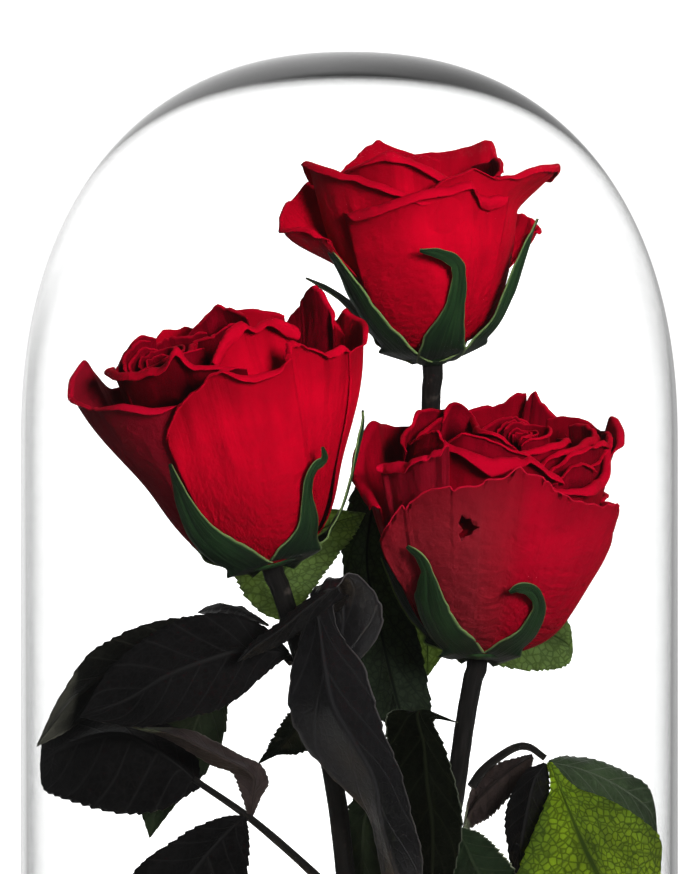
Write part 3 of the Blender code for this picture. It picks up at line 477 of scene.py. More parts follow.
def shell(grid, thickness, uv):
    """(points, faces, uv) of a thin closed sheet round a grid of points, all in millimetres."""
    columns, rows = grid.shape[:2]
    across, along = np.gradient(grid, axis=0), np.gradient(grid, axis=1)
    normal = np.cross(across, along)
    normal /= np.maximum(np.linalg.norm(normal, axis=-1, keepdims=True), 1e-9)
    half = (np.broadcast_to(thickness, (columns, rows)) / 2)[..., None]
    points = np.concatenate([(grid + normal * half).reshape(-1, 3), (grid - normal * half).reshape(-1, 3)])
    index = np.arange(columns * rows).reshape(columns, rows)
    a, b, c, d = index[:-1, :-1], index[1:, :-1], index[1:, 1:], index[:-1, 1:]
    front = np.stack([a, b, c, d], axis=-1).reshape(-1, 4)
    back = front[:, ::-1] + columns * rows
    rim = np.concatenate([index[:, 0], index[-1, 1:], index[-2::-1, -1], index[0, -2:0:-1]])
    after = np.roll(rim, -1)
    side = np.stack([after, rim, rim + columns * rows, after + columns * rows], axis=-1)
    return points, np.concatenate([front, back, side]), np.concatenate([uv.reshape(-1, 2)] * 2)


def joined(parts):
    """Several (points, faces, uv) as one."""
    points, faces, uv, start = [], [], [], 0
    for p, f, t in parts:
        points.append(p)
        faces += [[int(k) + start for k in face] for face in f]
        uv.append(t)
        start += len(p)
    return np.concatenate(points), faces, np.concatenate(uv)


def lathe(profile, segments):
    """(points, faces, uv) of a closed profile of (radius, height) turned about the z axis."""
    angle = 2 * np.pi * np.arange(segments) / segments
    points, rings, uv = [], [], []
    for k, (radius, height) in enumerate(profile):
        along = k / (len(profile) - 1)
        if radius < 1e-6:
            rings.append(np.full(segments, len(points)))
            points.append((0, 0, height))
            uv.append((0.5, along))
            continue
        rings.append(np.arange(len(points), len(points) + segments))
        points += [(radius * math.cos(a), radius * math.sin(a), height) for a in angle]
        uv += [(i / segments, along) for i in range(segments)]
    faces = []
    for a, b in zip(rings, rings[1:] + rings[:1]):
        for i in range(segments):
            j = (i + 1) % segments
            corners = list(dict.fromkeys((int(a[i]), int(a[j]), int(b[j]), int(b[i]))))
            if len(corners) > 2:
                faces.append(corners)
    return np.array(points, float), faces, np.array(uv)


def tube(centres, radii, sides, ridges=0.0, seed=0):
    """(points, faces, uv) of a closed tube through centres in millimetres."""
    count = len(centres)
    ahead = np.gradient(centres, axis=0)
    ahead /= np.linalg.norm(ahead, axis=1, keepdims=True)
    angle = 2 * np.pi * np.arange(sides) / sides
    side, points, uv = np.array([1.0, 0, 0]), [], []
    bumps = ripple(np.linspace(0, 1, count), np.linspace(0, 1, sides), count // 4, 5, seed)
    for i in range(count):
        side = side - side.dot(ahead[i]) * ahead[i]
        side /= np.linalg.norm(side)
        up = np.cross(ahead[i], side)
        radius = radii[i] * (1 + ridges * np.cos(5 * angle) + ridges * bumps[i])
        ring = np.cos(angle)[:, None] * side + np.sin(angle)[:, None] * up
        points.append(centres[i] + radius[:, None] * ring)
        uv += [(k / sides, i / (count - 1)) for k in range(sides)]
    points = np.concatenate(points)
    faces = []
    for i in range(count - 1):
        for k in range(sides):
            n, a, b = (k + 1) % sides, i * sides, (i + 1) * sides
            faces.append([a + k, a + n, b + n, b + k])
    faces += [list(range(sides))[::-1], list(range(len(points) - sides, len(points)))]
    return points, faces, np.array(uv)


# Flowers


def rose_place(name):
    """(rotation, origin in millimetres) that take a rose's own frame to the row's."""
    rose = ROSES[name]
    left, forward = (math.tan(math.radians(rose[side])) for side in ("left", "forward"))
    lean = Vector((-left, -forward, 1)).normalized()
    turn = Vector((0, 0, 1)).rotation_difference(lean).to_matrix()
    return np.array(turn), np.array(rose["cup"], float)


def placed(points, name):
    turn, cup = rose_place(name)
    return (points @ turn.T + cup) * MM


def bud_radius(rose, height):
    return rose["belly"] * (np.maximum(height, 0.05) / rose["belly_height"]) ** rose["fullness"]


def bud_point(rose, height, inwards):
    """(radius, height) on the bud's side, moved inwards at a right angle to it."""
    radius = bud_radius(rose, height)
    slope = radius * rose["fullness"] / np.maximum(height, 0.05)
    size = np.hypot(1, slope)
    return radius - inwards / size, height + inwards * slope / size


def add_lip(radius, height, roll, turn, lip_rows):
    """Carries each column on past its rim in a curl that turns outwards, tight at first and then flatter."""
    ahead_r, ahead_z = radius[:, -1] - radius[:, -3], height[:, -1] - height[:, -3]
    size = np.hypot(ahead_r, ahead_z)
    ahead_r, ahead_z = (ahead_r / size)[:, None], (ahead_z / size)[:, None]
    angle = np.radians(turn)[:, None] * (1 - (1 - (np.arange(lip_rows)[None, :] + 0.5) / lip_rows) ** 2.4)
    step = (roll * np.radians(turn) / lip_rows)[:, None]
    forward, outward = np.cumsum(step * np.cos(angle), axis=1), np.cumsum(step * np.sin(angle), axis=1)
    lip_r = radius[:, -1:] + forward * ahead_r + outward * ahead_z
    lip_z = height[:, -1:] + forward * ahead_z - outward * ahead_r
    return np.hstack([radius, lip_r]), np.hstack([height, lip_z])


def petal_grid(rose, petal, seed, rows=34, lip_rows=9, outer=True):
    """The petal's middle surface in the rose's own frame, and its uv."""
    columns = max(56, 5 * len(petal["rim"])) if outer else max(44, 4 * len(petal["rim"]))
    u = np.linspace(0, 1, columns)
    azimuth, rim_radius, rim_height = spline(petal["rim"], u, petal.get("crisp", 0.72)).T
    middle = (azimuth[0] + azimuth[-1]) / 2
    roll, turn = petal["lip"]
    roll *= 1 if outer else 0.7
    rim_radius = rim_radius - (0.9 if outer else 0.4) * roll * (1 - math.cos(math.radians(turn)))
    ends = smooth_step(np.minimum(u, 1 - u) / 0.1)
    ragged = petal.get("ragged", 0.42)
    rim_height = rim_height + ends * (ragged * wobble(u, columns // 3, seed) + 0.35 * wobble(u, 9, seed + 1))
    rim_radius = rim_radius + ends * min(0.6, 0.03 * rim_radius.mean()) * wobble(u, 7, seed + 2)
    t = np.linspace(0, 1, rows + 1)[None, :]
    upper = smooth_step((t - 0.35) / 0.6)
    if outer:
        inwards = petal["layer"] * PETAL_LAYER
        start, stop = petal.get("flare", (FLARE_START, 1))
        top_radius, top_height = bud_point(rose, rim_height, inwards)
        foot = PETAL_FOOT + rose["lift"]
        height = foot + (rim_height[:, None] - foot) * t**1.6
        radius, height = bud_point(rose, height, inwards)
        flare = smooth_step((t - start) / (stop - start)) ** 1.3
        radius = radius + (rim_radius - top_radius)[:, None] * flare
        height = height + (rim_height - top_height)[:, None] * flare
        wide = petal.get("spread", 0.72)
        spread = wide + (1 - wide) * smooth_step(t / 0.7)
        azimuths = middle + (azimuth - middle)[:, None] * spread
        radius = radius + 0.55 * upper * ripple(u, t[0], 6, 4, seed + 3)
        if "belly" in petal:
            out, at = petal["belly"]
            radius = radius + out * np.exp(-(((azimuth[:, None] - at) / 28) ** 2)) * np.sin(np.pi * t**0.8)
    else:
        depth = min(10 + 0.9 * rim_radius.mean(), 19)
        height = rim_height[:, None] - depth * (1 - t**1.2)
        bulge = 0.55 + 0.45 * np.sin(0.5 * np.pi * t**0.8)
        bulge = bulge + 0.03 * np.sin(np.pi * np.clip(t * 1.15 - 0.15, 0, 1))
        radius = rim_radius[:, None] * bulge
        azimuths = middle + (azimuth - middle)[:, None] * (0.8 + 0.2 * t)
        radius = radius + 0.18 * upper * ripple(u, t[0], 6, 4, seed + 3)
    radius = radius + 0.07 * upper * ripple(u, t[0], 22, 12, seed + 4)
    roll = roll * (0.4 + 0.6 * ends) * (1 + 0.25 * wobble(u, 6, seed + 5))
    turn = turn * (0.4 + 0.6 * ends) * (1 + 0.3 * wobble(u, 5, seed + 6))
    radius, height = add_lip(radius, height, roll, turn, lip_rows)
    azimuths = np.hstack([azimuths, np.repeat(azimuths[:, -1:], lip_rows, axis=1)])
    grid = direction(azimuths) * radius[..., None]
    grid[..., 2] = height
    lip = (1 - LIP_START) * np.arange(1, lip_rows + 1) / lip_rows
    v = np.concatenate([LIP_START * t[0], LIP_START + lip])
    return grid, np.stack(np.broadcast_arrays(u[:, None], v[None, :]), axis=-1)


def tear(obj, name):
    """Cuts the small torn hole out of the right rose's front petal."""
    azimuth, height, radius = -12, 46.2, 38.5
    outline = [(-1.8, 4.4), (-2.6, 1.4), (-1.3, -0.5), (-2.5, -2.1), (-1.6, -4.3), (-0.5, -2.5), (1.2, -1.8),
               (1.9, -0.3), (3.5, 0.8), (1.7, 1.5), (1, 3.5), (-0.6, 3.1)]
    out, angle = direction(azimuth), math.radians(azimuth)
    across = np.array([math.cos(angle), math.sin(angle), 0])
    flat = np.array([out * radius + across * x + (0, 0, height + z) for x, z in outline])
    points = np.concatenate([flat - 5 * out, flat + 5 * out])
    count = len(outline)
    faces = [list(range(count))[::-1], list(range(count, 2 * count))]
    faces += [[i, (i + 1) % count, (i + 1) % count + count, i + count] for i in range(count)]
    hole = make("tear", placed(points, name), faces, obj.data.materials[0], smooth=False)
    carve(obj, [hole])


def carve(obj, cutters):
    """Takes the cutters out of a piece for good."""
    for cutter in cutters:
        cut = obj.modifiers.new(cutter.name, "BOOLEAN")
        cut.operation, cut.object, cut.solver = "DIFFERENCE", cutter, "EXACT"
    mesh = bpy.data.meshes.new_from_object(obj.evaluated_get(bpy.context.evaluated_depsgraph_get()))
    obj.modifiers.clear()
    obj.data = mesh
    for cutter in cutters:
        bpy.data.objects.remove(cutter, do_unlink=True)


def add_flower(name, number, looks):
    rose = ROSES[name]
    for k, (petal_name, petal) in enumerate(PETALS[name].items()):
        node = f"petal_{name}_{petal_name}"
        grid, uv = petal_grid(rose, petal, 1000 * number + 20 * k)
        points, faces, uv = shell(grid, PETAL_THICKNESS, uv)
        look = looks[petal.get("look", rose.get("look", "red"))]
        obj = make("fine_" + node, placed(points, name), faces, look, uv)
        if node == "petal_right_shield":
            tear(obj, name)
        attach(obj, "root")
        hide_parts(node)
    heart, parts = HEARTS[name], []
    for k, petal in enumerate(heart["petals"]):
        outer = petal.get("outer", False)
        petal = dict(petal, layer=HEART_LAYER)
        grid, uv = petal_grid(rose, petal, 5000 + 1000 * number + 20 * k, rows=26, lip_rows=8, outer=outer)
        if not outer:
            grid[..., :2] += heart["centre"]
        parts.append(shell(grid, PETAL_THICKNESS, uv))
    reach = 0.78 * rose["belly"]
    inside = [petal for petal in heart["petals"] if not petal.get("outer")]
    top = min(h for petal in inside for _, _, h in petal["rim"]) + heart["low"]
    for k in range(SPIRAL_PETALS):
        radius = reach * (1 - k / (SPIRAL_PETALS + 0.5))
        start = SPIRAL_TURN * k
        shift = np.array(heart["centre"]) * (1 - radius / rose["belly"])
        rim = [
            (start + a, radius * (1.04 - 0.0006 * a), top - 0.006 * (a - 95) ** 2 * radius / 60 / 9)
            for a in range(0, 191, 38)]
        petal = dict(lip=(0.3 + 0.03 * radius, 110), rim=rim)
        grid, uv = petal_grid(rose, petal, 8000 + 1000 * number + 20 * k, rows=24, lip_rows=7, outer=False)
        grid[..., :2] += shift
        parts.append(shell(grid, PETAL_THICKNESS, uv))
    points, faces, uv = joined(parts)
    obj = make("inner_petals_" + name, placed(points, name), faces, looks["heart"], uv)
    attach(obj, "root")
    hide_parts("heart_" + name)


def sepal_grid(rose, sepal, seed, rows=56, columns=13):
    """A sepal's middle surface: a strip along its own line on the bud, which leaves it towards the tip."""
    t = np.linspace(0, 1, rows + 1)
    s = np.linspace(-1, 1, columns)[:, None]
    azimuth, height, off, half = spline(sepal, t).T
    root = smooth_step(t / 0.14)
    radius, raised = bud_point(rose, height, -SEPAL_CLEARANCE)
    middle = direction(azimuth) * ((0.5 * HUB_RADIUS) * (1 - root) + (radius + off) * root)[:, None]
    middle[:, 2] = (rose["lift"] - 2.2) * (1 - root) + np.maximum(raised, rose["lift"]) * root
    ahead = np.gradient(middle, axis=0)
    ahead /= np.linalg.norm(ahead, axis=1, keepdims=True)
    side = np.cross(ahead, direction(azimuth))
    side /= np.linalg.norm(side, axis=1, keepdims=True)
    width = np.minimum(1.22 * half, 0.55 * (radius + off)) * (1 + 0.08 * wobble(t, 18, seed))
    grid = middle - side * (s * width)[..., None]
    flat = np.linalg.norm(grid[..., :2], axis=-1)
    wanted = bud_radius(rose, grid[..., 2]) + SEPAL_CLEARANCE + off + 0.1 * width * (1 - s**2)
    wanted = wanted + 0.25 * wobble(t, 9, seed + 1) * s - 0.3 * np.exp(-((s / 0.14) ** 2))
    grid[..., :2] *= (1 + (wanted / np.maximum(flat, 1e-6) - 1) * smooth_step((t - 0.14) / 0.1))[..., None]
    uv = np.stack(np.broadcast_arrays((s + 1) / 2, t[None, :]), axis=-1)
    return grid, uv


def add_calyx(name, number, look):
    rose = ROSES[name]
    reach = bud_radius(rose, PETAL_FOOT + rose["lift"]) + 0.9
    outline = [
        (0, -3.4), (3.4, -3.4), (4.2, -3.2), (0.5 * reach, -2.5), (0.72 * reach, -1.5), (0.9 * reach, -0.2),
        (reach, 1.2), (reach - 0.3, 1.5), (reach - 0.8, 1.2), (0.7 * reach, -0.3), (0.4 * reach, -0.9),
        (0, -1)]
    parts = [lathe([(r, z + rose["lift"]) for r, z in outline], HUB_SIDES)]
    for k, sepal in enumerate(SEPALS[name]):
        grid, uv = sepal_grid(rose, sepal, 300 * number + 10 * k)
        parts.append(shell(grid, SEPAL_THICKNESS, uv))
    points, faces, uv = joined(parts)
    obj = make("fine_calyx_" + name, placed(points, name), faces, look, uv)
    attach(obj, "root")
    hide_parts("calyx_" + name)


# Leaves, stems, base and glass


def leaf_grid(cuts, seed, rows=110, columns=17):
    """A leaflet's middle surface through its cuts, and its uv."""
    left, rib, right = (np.array([c[k:k + 3] if len(c) > 3 else c for c in cuts], float) for k in (0, 3, 6))
    across = right[1] - left[1]
    across *= STALK_HALF_WIDTH / np.linalg.norm(across)
    left[0] -= across
    right[0] += across
    t = np.linspace(0, 1, rows + 1)
    s = np.linspace(-1, 1, columns)[:, None]
    edge_a, middle, edge_b = spline(left, t), spline(rib, t), spline(right, t)
    half = np.where((s < 0)[..., None], edge_a - middle, edge_b - middle)
    width = np.linalg.norm(half, axis=-1)
    up = np.cross(edge_b - edge_a, np.gradient(middle, axis=0))
    up /= np.maximum(np.linalg.norm(up, axis=1, keepdims=True), 1e-9)
    inner = np.sin(np.pi * t) ** 0.5
    notch = (t * LEAF_TEETH + 0.5 * wobble(t, 9, seed + 3)) % 1
    tooth = (notch - 0.55) * (0.9 + 0.5 * wobble(t, LEAF_TEETH, seed + 4)) * TOOTH_DEPTH * inner
    reach = np.abs(s) + smooth_step((np.abs(s) - 0.7) / 0.3) * tooth / np.maximum(width, 2)
    vein = np.abs(np.sin(np.pi * 8 * (t - 0.2 * np.abs(s) * (1 - t))))
    lift = 0.3 * width * np.abs(s) * (1 - np.abs(s)) + 0.28 * vein**0.6 * np.sin(np.pi * np.abs(s)) * inner
    lift = lift - 0.35 * np.exp(-((s / 0.08) ** 2)) * inner
    lift = lift + (0.05 * width + 0.2) * ripple(np.linspace(0, 1, columns), t, 4, 9, seed) * np.abs(s) * inner
    grid = middle + half * reach[..., None] + up * lift[..., None]
    uv = np.stack(np.broadcast_arrays((s + 1) / 2, t[None, :]), axis=-1)
    return grid, uv


def add_leaves(looks):
    for k, (name, leaf) in enumerate(LEAVES.items()):
        grid, uv = leaf_grid(leaf["cut"], 9000 + 10 * k)
        points, faces, uv = shell(grid, LEAF_THICKNESS, uv)
        obj = make("fine_leaf_" + name, points * MM, faces, looks[leaf["look"]], uv)
        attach(obj, "root")
        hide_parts("leaf_" + name)


def add_stems(look):
    for k, (name, route) in enumerate(STEMS.items()):
        rose = ROSES[name]
        turn, cup = rose_place(name)
        t = np.linspace(0, 1, 90)
        centres = spline(route, t)
        foot = np.array([route[0][0], route[0][1], BASE_HEIGHT - SOCKET_DEPTH + GAP])
        keep = centres[:, 2] > BASE_HEIGHT + 8
        end = cup - turn[:, 2] * (HUB_HEIGHT - 1.5 - rose["lift"])
        keep &= centres[:, 2] < end[2] - 6
        first = np.array([foot, foot + (0, 0, 4)])
        centres = np.vstack([first, centres[keep], [end - turn[:, 2] * 4], [end]])
        swell = 1 + 0.1 * np.exp(-(((centres[:, 2] - end[2]) / 6) ** 2))
        points, faces, uv = tube(centres, STEM_RADIUS * 0.98 * swell, STEM_SIDES, 0.025, 40 + k)
        obj = make("fine_stem_" + name, points * MM, faces, look, uv)
        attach(obj, "root")
        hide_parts("stem_" + name)
    for k, (name, route) in enumerate(PETIOLES.items()):
        t = np.linspace(0, 1, 50)
        radii = PETIOLE_RADIUS * (1.35 - 0.45 * t)
        points, faces, uv = tube(spline(route, t), radii, PETIOLE_SIDES, 0.03, 60 + k)
        obj = make("fine_petiole_" + name, points * MM, faces, look, uv)
        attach(obj, "root")
        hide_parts("petiole_" + name)


def crown(radius, height, power, steps):
    angle = 0.5 * np.pi * np.linspace(0, 1, steps + 1)
    across = np.maximum(np.cos(angle), 0) ** (2 / power)
    across[-1] = 0
    return list(zip(radius * across, height * np.sin(angle) ** (2 / power)))


def add_dome(look):
    spring = OVERALL_HEIGHT - DOME_CROWN
    rim = BASE_HEIGHT - GROOVE_DEPTH + GAP
    half = GLASS_WALL / 2
    middle = DOME_RADIUS - half
    foot = [(middle + half * math.sin(a), rim + half - half * math.cos(a)) for a in np.linspace(-1.4, 1.4, 9)]
    outer = [(r, spring + z) for r, z in crown(DOME_RADIUS, DOME_CROWN, CROWN_POWER, 96)]
    inner = crown(DOME_RADIUS - GLASS_HIGH, DOME_CROWN - GLASS_TOP, CEILING_POWER, 96)
    inner = [(r, spring + z) for r, z in reversed(inner)]
    wall = [rim + half + z for z in (0.5, 1.5, 4, 10, 30, 60, 90, 120, 150, 170)]
    up = [(DOME_RADIUS, z) for z in wall]
    down = [(DOME_RADIUS - GLASS_WALL + (GLASS_WALL - GLASS_HIGH) * z / wall[-1], z) for z in reversed(wall)]
    points, faces, uv = lathe(foot + up + outer + inner + down, DOME_SIDES)
    obj = make("fine_glass_dome", points * MM, faces, look, uv)
    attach(obj, "root")
    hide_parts("glass_dome")


def add_base(look):
    groove_out, groove_in = DOME_RADIUS + GROOVE_PLAY, DOME_RADIUS - GLASS_WALL - GROOVE_PLAY
    floor = BASE_HEIGHT - GROOVE_DEPTH
    turn = np.radians(np.linspace(0, 90, 9))
    foot = 0.4 * BASE_EDGE
    low = [(BASE_RADIUS - foot * (1 - math.sin(a)), foot * (1 - math.cos(a))) for a in turn]
    high = [
        (BASE_RADIUS - BASE_EDGE * (1 - math.cos(a)), BASE_HEIGHT - BASE_EDGE * (1 - math.sin(a)))
        for a in turn]
    soft = 0.6
    groove = [
        (groove_out + soft, BASE_HEIGHT), (groove_out, BASE_HEIGHT - soft), (groove_out, floor),
        (groove_in, floor), (groove_in, BASE_HEIGHT - soft), (groove_in - soft, BASE_HEIGHT)]
    points, faces, uv = lathe([(0, 0), *low, *high, *groove, (0, BASE_HEIGHT)], BASE_SIDES)
    base = make("fine_wooden_base", points * MM, faces, look, uv)
    for polygon in base.data.polygons:
        polygon.use_smooth = abs(polygon.normal.z) < 0.99
    holes = []
    for name, route in STEMS.items():
        low_z, high_z, radius = BASE_HEIGHT - SOCKET_DEPTH, BASE_HEIGHT + 4, STEM_RADIUS + SOCKET_PLAY
        points, faces, uv = lathe([(0, low_z), (radius, low_z), (radius, high_z), (0, high_z)], SOCKET_SIDES)
        holes.append(make("hole_" + name, (points + (route[0][0], route[0][1], 0)) * MM, faces, look, uv))
    carve(base, holes)
    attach(base, "root")
    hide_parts("wooden_base")


# Materials


class Nodes:
    """Short calls for building a material's node tree."""

    def __init__(self, name):
        self.material = bpy.data.materials.new(name)
        self.material.use_nodes = True
        self.tree = self.material.node_tree
        self.shader = self.tree.nodes["Principled BSDF"]
        self.output = self.tree.nodes["Material Output"]

    def add(self, kind, **values):
        node = self.tree.nodes.new(kind)
        for key, value in values.items():
            if key in node.bl_rna.properties:
                setattr(node, key, value)
            else:
                node.inputs[key.replace("_", " ")].default_value = value
        return node

    def join(self, source, target):
        self.tree.links.new(source, target)

    def feed(self, value, socket):
        """Joins an output to the socket, or sets the socket's constant."""
        if isinstance(value, tuple):
            socket.default_value = (*value, 1)
        elif isinstance(value, (int, float)):
            socket.default_value = value
        else:
            self.join(value, socket)

    def places(self):
        """The texture coordinates, and the shares across and along the piece."""
        place, split = self.add("ShaderNodeTexCoord"), self.add("ShaderNodeSeparateXYZ")
        self.join(place.outputs["UV"], split.inputs[0])
        return place.outputs, split.outputs["X"], split.outputs["Y"]

    def math(self, operation, a, b=None, clamp=False):
        node = self.add("ShaderNodeMath", operation=operation, use_clamp=clamp)
        self.feed(a, node.inputs[0])
        if b is not None:
            self.feed(b, node.inputs[1])
        return node.outputs[0]

    def mix(self, factor, a, b):
        node = self.add("ShaderNodeMix", data_type="RGBA", blend_type="MIX")
        for socket, value in ((node.inputs[0], factor), (node.inputs[6], a), (node.inputs[7], b)):
            self.feed(value, socket)
        return node.outputs[2]

    def ramp(self, source, low, high):
        node = self.add("ShaderNodeMapRange", From_Min=low, From_Max=high)
        self.join(source, node.inputs["Value"])
        return node.outputs["Result"]

    def noise(self, vector, scale, detail=3.0, stretch=None):
        if stretch is not None:
            mapping = self.add("ShaderNodeMapping")
            mapping.inputs["Scale"].default_value = stretch
            self.join(vector, mapping.inputs["Vector"])
            vector = mapping.outputs["Vector"]
        node = self.add("ShaderNodeTexNoise", Scale=scale, Detail=detail)
        self.join(vector, node.inputs["Vector"])
        return node.outputs["Fac"]

    def bump(self, height, strength, distance):
        node = self.add("ShaderNodeBump", Strength=strength, Distance=distance)
        self.join(height, node.inputs["Height"])
        return node.outputs["Normal"]

    def skin(self, colour, normal, **values):
        """Sets the shader's colour, normal and constants."""
        self.join(colour, self.shader.inputs["Base Color"])
        self.join(normal, self.shader.inputs["Normal"])
        for key, value in values.items():
            self.shader.inputs[key.replace("_", " ")].default_value = value

    def surface(self, share, other):
        """Mixes another shader in with the main one."""
        both = self.add("ShaderNodeMixShader")
        self.feed(share, both.inputs[0])
        self.join(self.shader.outputs[0], both.inputs[1])
        self.join(other.outputs[0], both.inputs[2])
        self.join(both.outputs[0], self.output.inputs["Surface"])

    def see_through(self, colour, share):
        """Mixes in a Translucent shader, for light from behind."""
        through = self.add("ShaderNodeBsdfTranslucent")
        self.feed(colour, through.inputs["Color"])
        self.surface(share, through)


def petal_material(name, deep, mid, lip, dull_and_shade=None, dull_and_shade_until=1.5, relief=0.7, shade_rise=(0.02, 0.8)):
    n = Nodes(name)
    place, across, along = n.places()
    veins = n.noise(place["UV"], 1.0, 4.0, (46, 3, 1))
    folds = n.noise(place["UV"], 1.0, 4.0, (7, 3, 1))
    wrinkles = n.noise(place["Object"], 190.0, 5.0)
    patches = n.noise(place["Object"], 60.0, 4.0)
    fine = n.noise(place["Object"], 1500.0, 2.0)
    crumple = n.noise(place["UV"], 1.0, 5.0, (17, 26, 1))
    # Painted shade: darker towards the petal's foot, from the deep colour to the middle one; in the heart,
    # hollow and shaded looks this shade reaches nearly to the rim, as shade between the petals.
    colour = n.mix(n.ramp(along, *shade_rise), deep, mid)
    # Painted shade along the fold noise, which also shapes the bump.
    colour = n.mix(n.math("MULTIPLY", n.ramp(folds, 0.45, 0.75), 0.4), colour, deep)
    colour = n.mix(n.math("MULTIPLY", n.ramp(veins, 0.52, 0.7), 0.1), colour, deep)
    colour = n.mix(n.math("MULTIPLY", n.ramp(wrinkles, 0.55, 0.8), 0.25), colour, lip)
    colour = n.mix(n.math("MULTIPLY", n.ramp(patches, 0.5, 0.75), 0.35), colour, deep)
    # The dull colour is partly the petal's own duller, purpler tone and partly painted shade; on the torn
    # petal it covers only its left part, as painted shade and a painted glass reflection over a real bruise.
    if dull_and_shade:
        weight = n.math("MULTIPLY", n.ramp(across, dull_and_shade_until + 0.1, dull_and_shade_until - 0.06), 0.7)
        colour = n.mix(weight, colour, dull_and_shade)
    # Painted shadow under the lip: the band just below the rim turns towards the deep colour.
    colour = n.mix(n.math("MULTIPLY", n.ramp(along, 0.8, 0.935), 0.55), colour, deep)
    colour = n.mix(n.ramp(along, 0.936, 0.965), colour, lip)
    height = n.math("ADD", n.math("MULTIPLY", veins, 0.2), n.math("MULTIPLY", fine, 0.1))
    height = n.math("ADD", n.math("ADD", height, wrinkles), n.math("MULTIPLY", folds, 0.6))
    crumple = n.math("MULTIPLY", crumple, n.math("MULTIPLY", n.ramp(along, 0.95, 0.3), 2.0))
    height = n.math("ADD", height, crumple)
    n.skin(colour, n.bump(height, relief, 0.0013), Roughness=0.75, Specular_IOR_Level=0.05, Sheen_Weight=0.1,
           Sheen_Roughness=0.4, Sheen_Tint=(0.9, 0.002, 0.02, 1))
    n.see_through(lip, 0.08)
    return n.material


def leaf_material(
        name, face, vein, through=None, share=0.0, roughness=0.5, gloss=0.3, edge=None, tip=None, net=0.2):
    """A leaflet's skin.

    The colour edge is for its rim, tip is a colour and where along the leaf it starts, and net is how
    strong its mesh of fine veins is.
    """
    n = Nodes(name)
    place, across, along = n.places()
    side = n.math("ABSOLUTE", n.math("SUBTRACT", n.math("MULTIPLY", across, 2.0), 1.0))
    slant = n.math("SUBTRACT", along, n.math("MULTIPLY", side, 0.2))
    wave = n.math("PINGPONG", n.math("MULTIPLY", slant, 8.0), 0.5)
    side_vein = n.math("SUBTRACT", 1.0, n.ramp(wave, 0.0, 0.08), clamp=True)
    midrib = n.math("SUBTRACT", 1.0, n.ramp(side, 0.02, 0.06), clamp=True)
    cells = n.add("ShaderNodeTexVoronoi", feature="DISTANCE_TO_EDGE", Scale=480.0)
    n.join(place["Object"], cells.inputs["Vector"])
    mesh = n.math("SUBTRACT", 1.0, n.ramp(cells.outputs["Distance"], 0.02, 0.16), clamp=True)
    patches = n.noise(place["Object"], 55.0, 5.0)
    fine = n.noise(place["Object"], 420.0, 4.0)
    lines = n.math("MAXIMUM", n.math("MULTIPLY", side_vein, 0.7), midrib)
    lines = n.math("MAXIMUM", lines, n.math("MULTIPLY", mesh, net))
    colour = n.mix(n.ramp(patches, 0.35, 0.7), tuple(0.45 * c for c in face), face)
    colour = n.mix(n.math("MULTIPLY", n.ramp(fine, 0.5, 0.8), 0.5), colour, tuple(1.9 * c for c in face))
    colour = n.mix(n.math("MULTIPLY", lines, 0.85), colour, vein)
    if tip:
        reach = n.math("ADD", along, n.math("MULTIPLY", n.math("SUBTRACT", patches, 0.5), 0.25))
        colour = n.mix(n.ramp(reach, tip[1], tip[1] + 0.06), colour, tip[0])
    if edge:
        colour = n.mix(n.ramp(side, 0.95, 0.99), colour, edge)
    ridge = n.math("SUBTRACT", n.math("MULTIPLY", n.math("ADD", patches, fine), 0.5), lines)
    n.skin(colour, n.bump(ridge, 0.45, 0.0006), Roughness=roughness, Specular_IOR_Level=gloss)
    if share:
        behind = n.mix(n.ramp(patches, 0.3, 0.75), tuple(0.5 * c for c in through), through)
        behind = n.mix(n.math("MULTIPLY", lines, 0.85), behind, tuple(0.12 * c for c in through))
        n.see_through(behind, share)
    return n.material


def sepal_material():
    n = Nodes("dressed sepal")
    place, across, along = n.places()
    side = n.math("ABSOLUTE", n.math("SUBTRACT", n.math("MULTIPLY", across, 2.0), 1.0))
    streaks = n.noise(place["UV"], 1.0, 4.0, (14, 2.5, 1))
    colour = n.mix(n.ramp(streaks, 0.35, 0.7), (0.003, 0.008, 0.004), (0.014, 0.038, 0.012))
    # Painted shade: darker at the root, under the bud.
    colour = n.mix(n.ramp(along, 0.08, 0.4), (0.0035, 0.006, 0.004), colour)
    colour = n.mix(n.ramp(side, 0.9, 1.0), colour, (0.1, 0.14, 0.05))
    n.skin(colour, n.bump(streaks, 0.7, 0.0009), Roughness=0.55, Specular_IOR_Level=0.25)
    n.see_through((0.05, 0.16, 0.02), 0.12)
    return n.material


def stem_material():
    n = Nodes("dressed stem")
    place = n.add("ShaderNodeTexCoord").outputs
    streaks = n.noise(place["UV"], 1.0, 5.0, (22, 9, 1))
    spots = n.noise(place["Object"], 260.0, 3.0)
    colour = n.mix(n.ramp(streaks, 0.3, 0.72), (0.002, 0.002, 0.0018), (0.008, 0.007, 0.0066))
    colour = n.mix(n.math("MULTIPLY", n.ramp(spots, 0.62, 0.75), 0.6), colour, (0.035, 0.028, 0.024))
    relief = n.bump(n.math("ADD", streaks, spots), 0.5, 0.0005)
    n.skin(colour, relief, Roughness=0.45, Specular_IOR_Level=0.4)
    return n.material


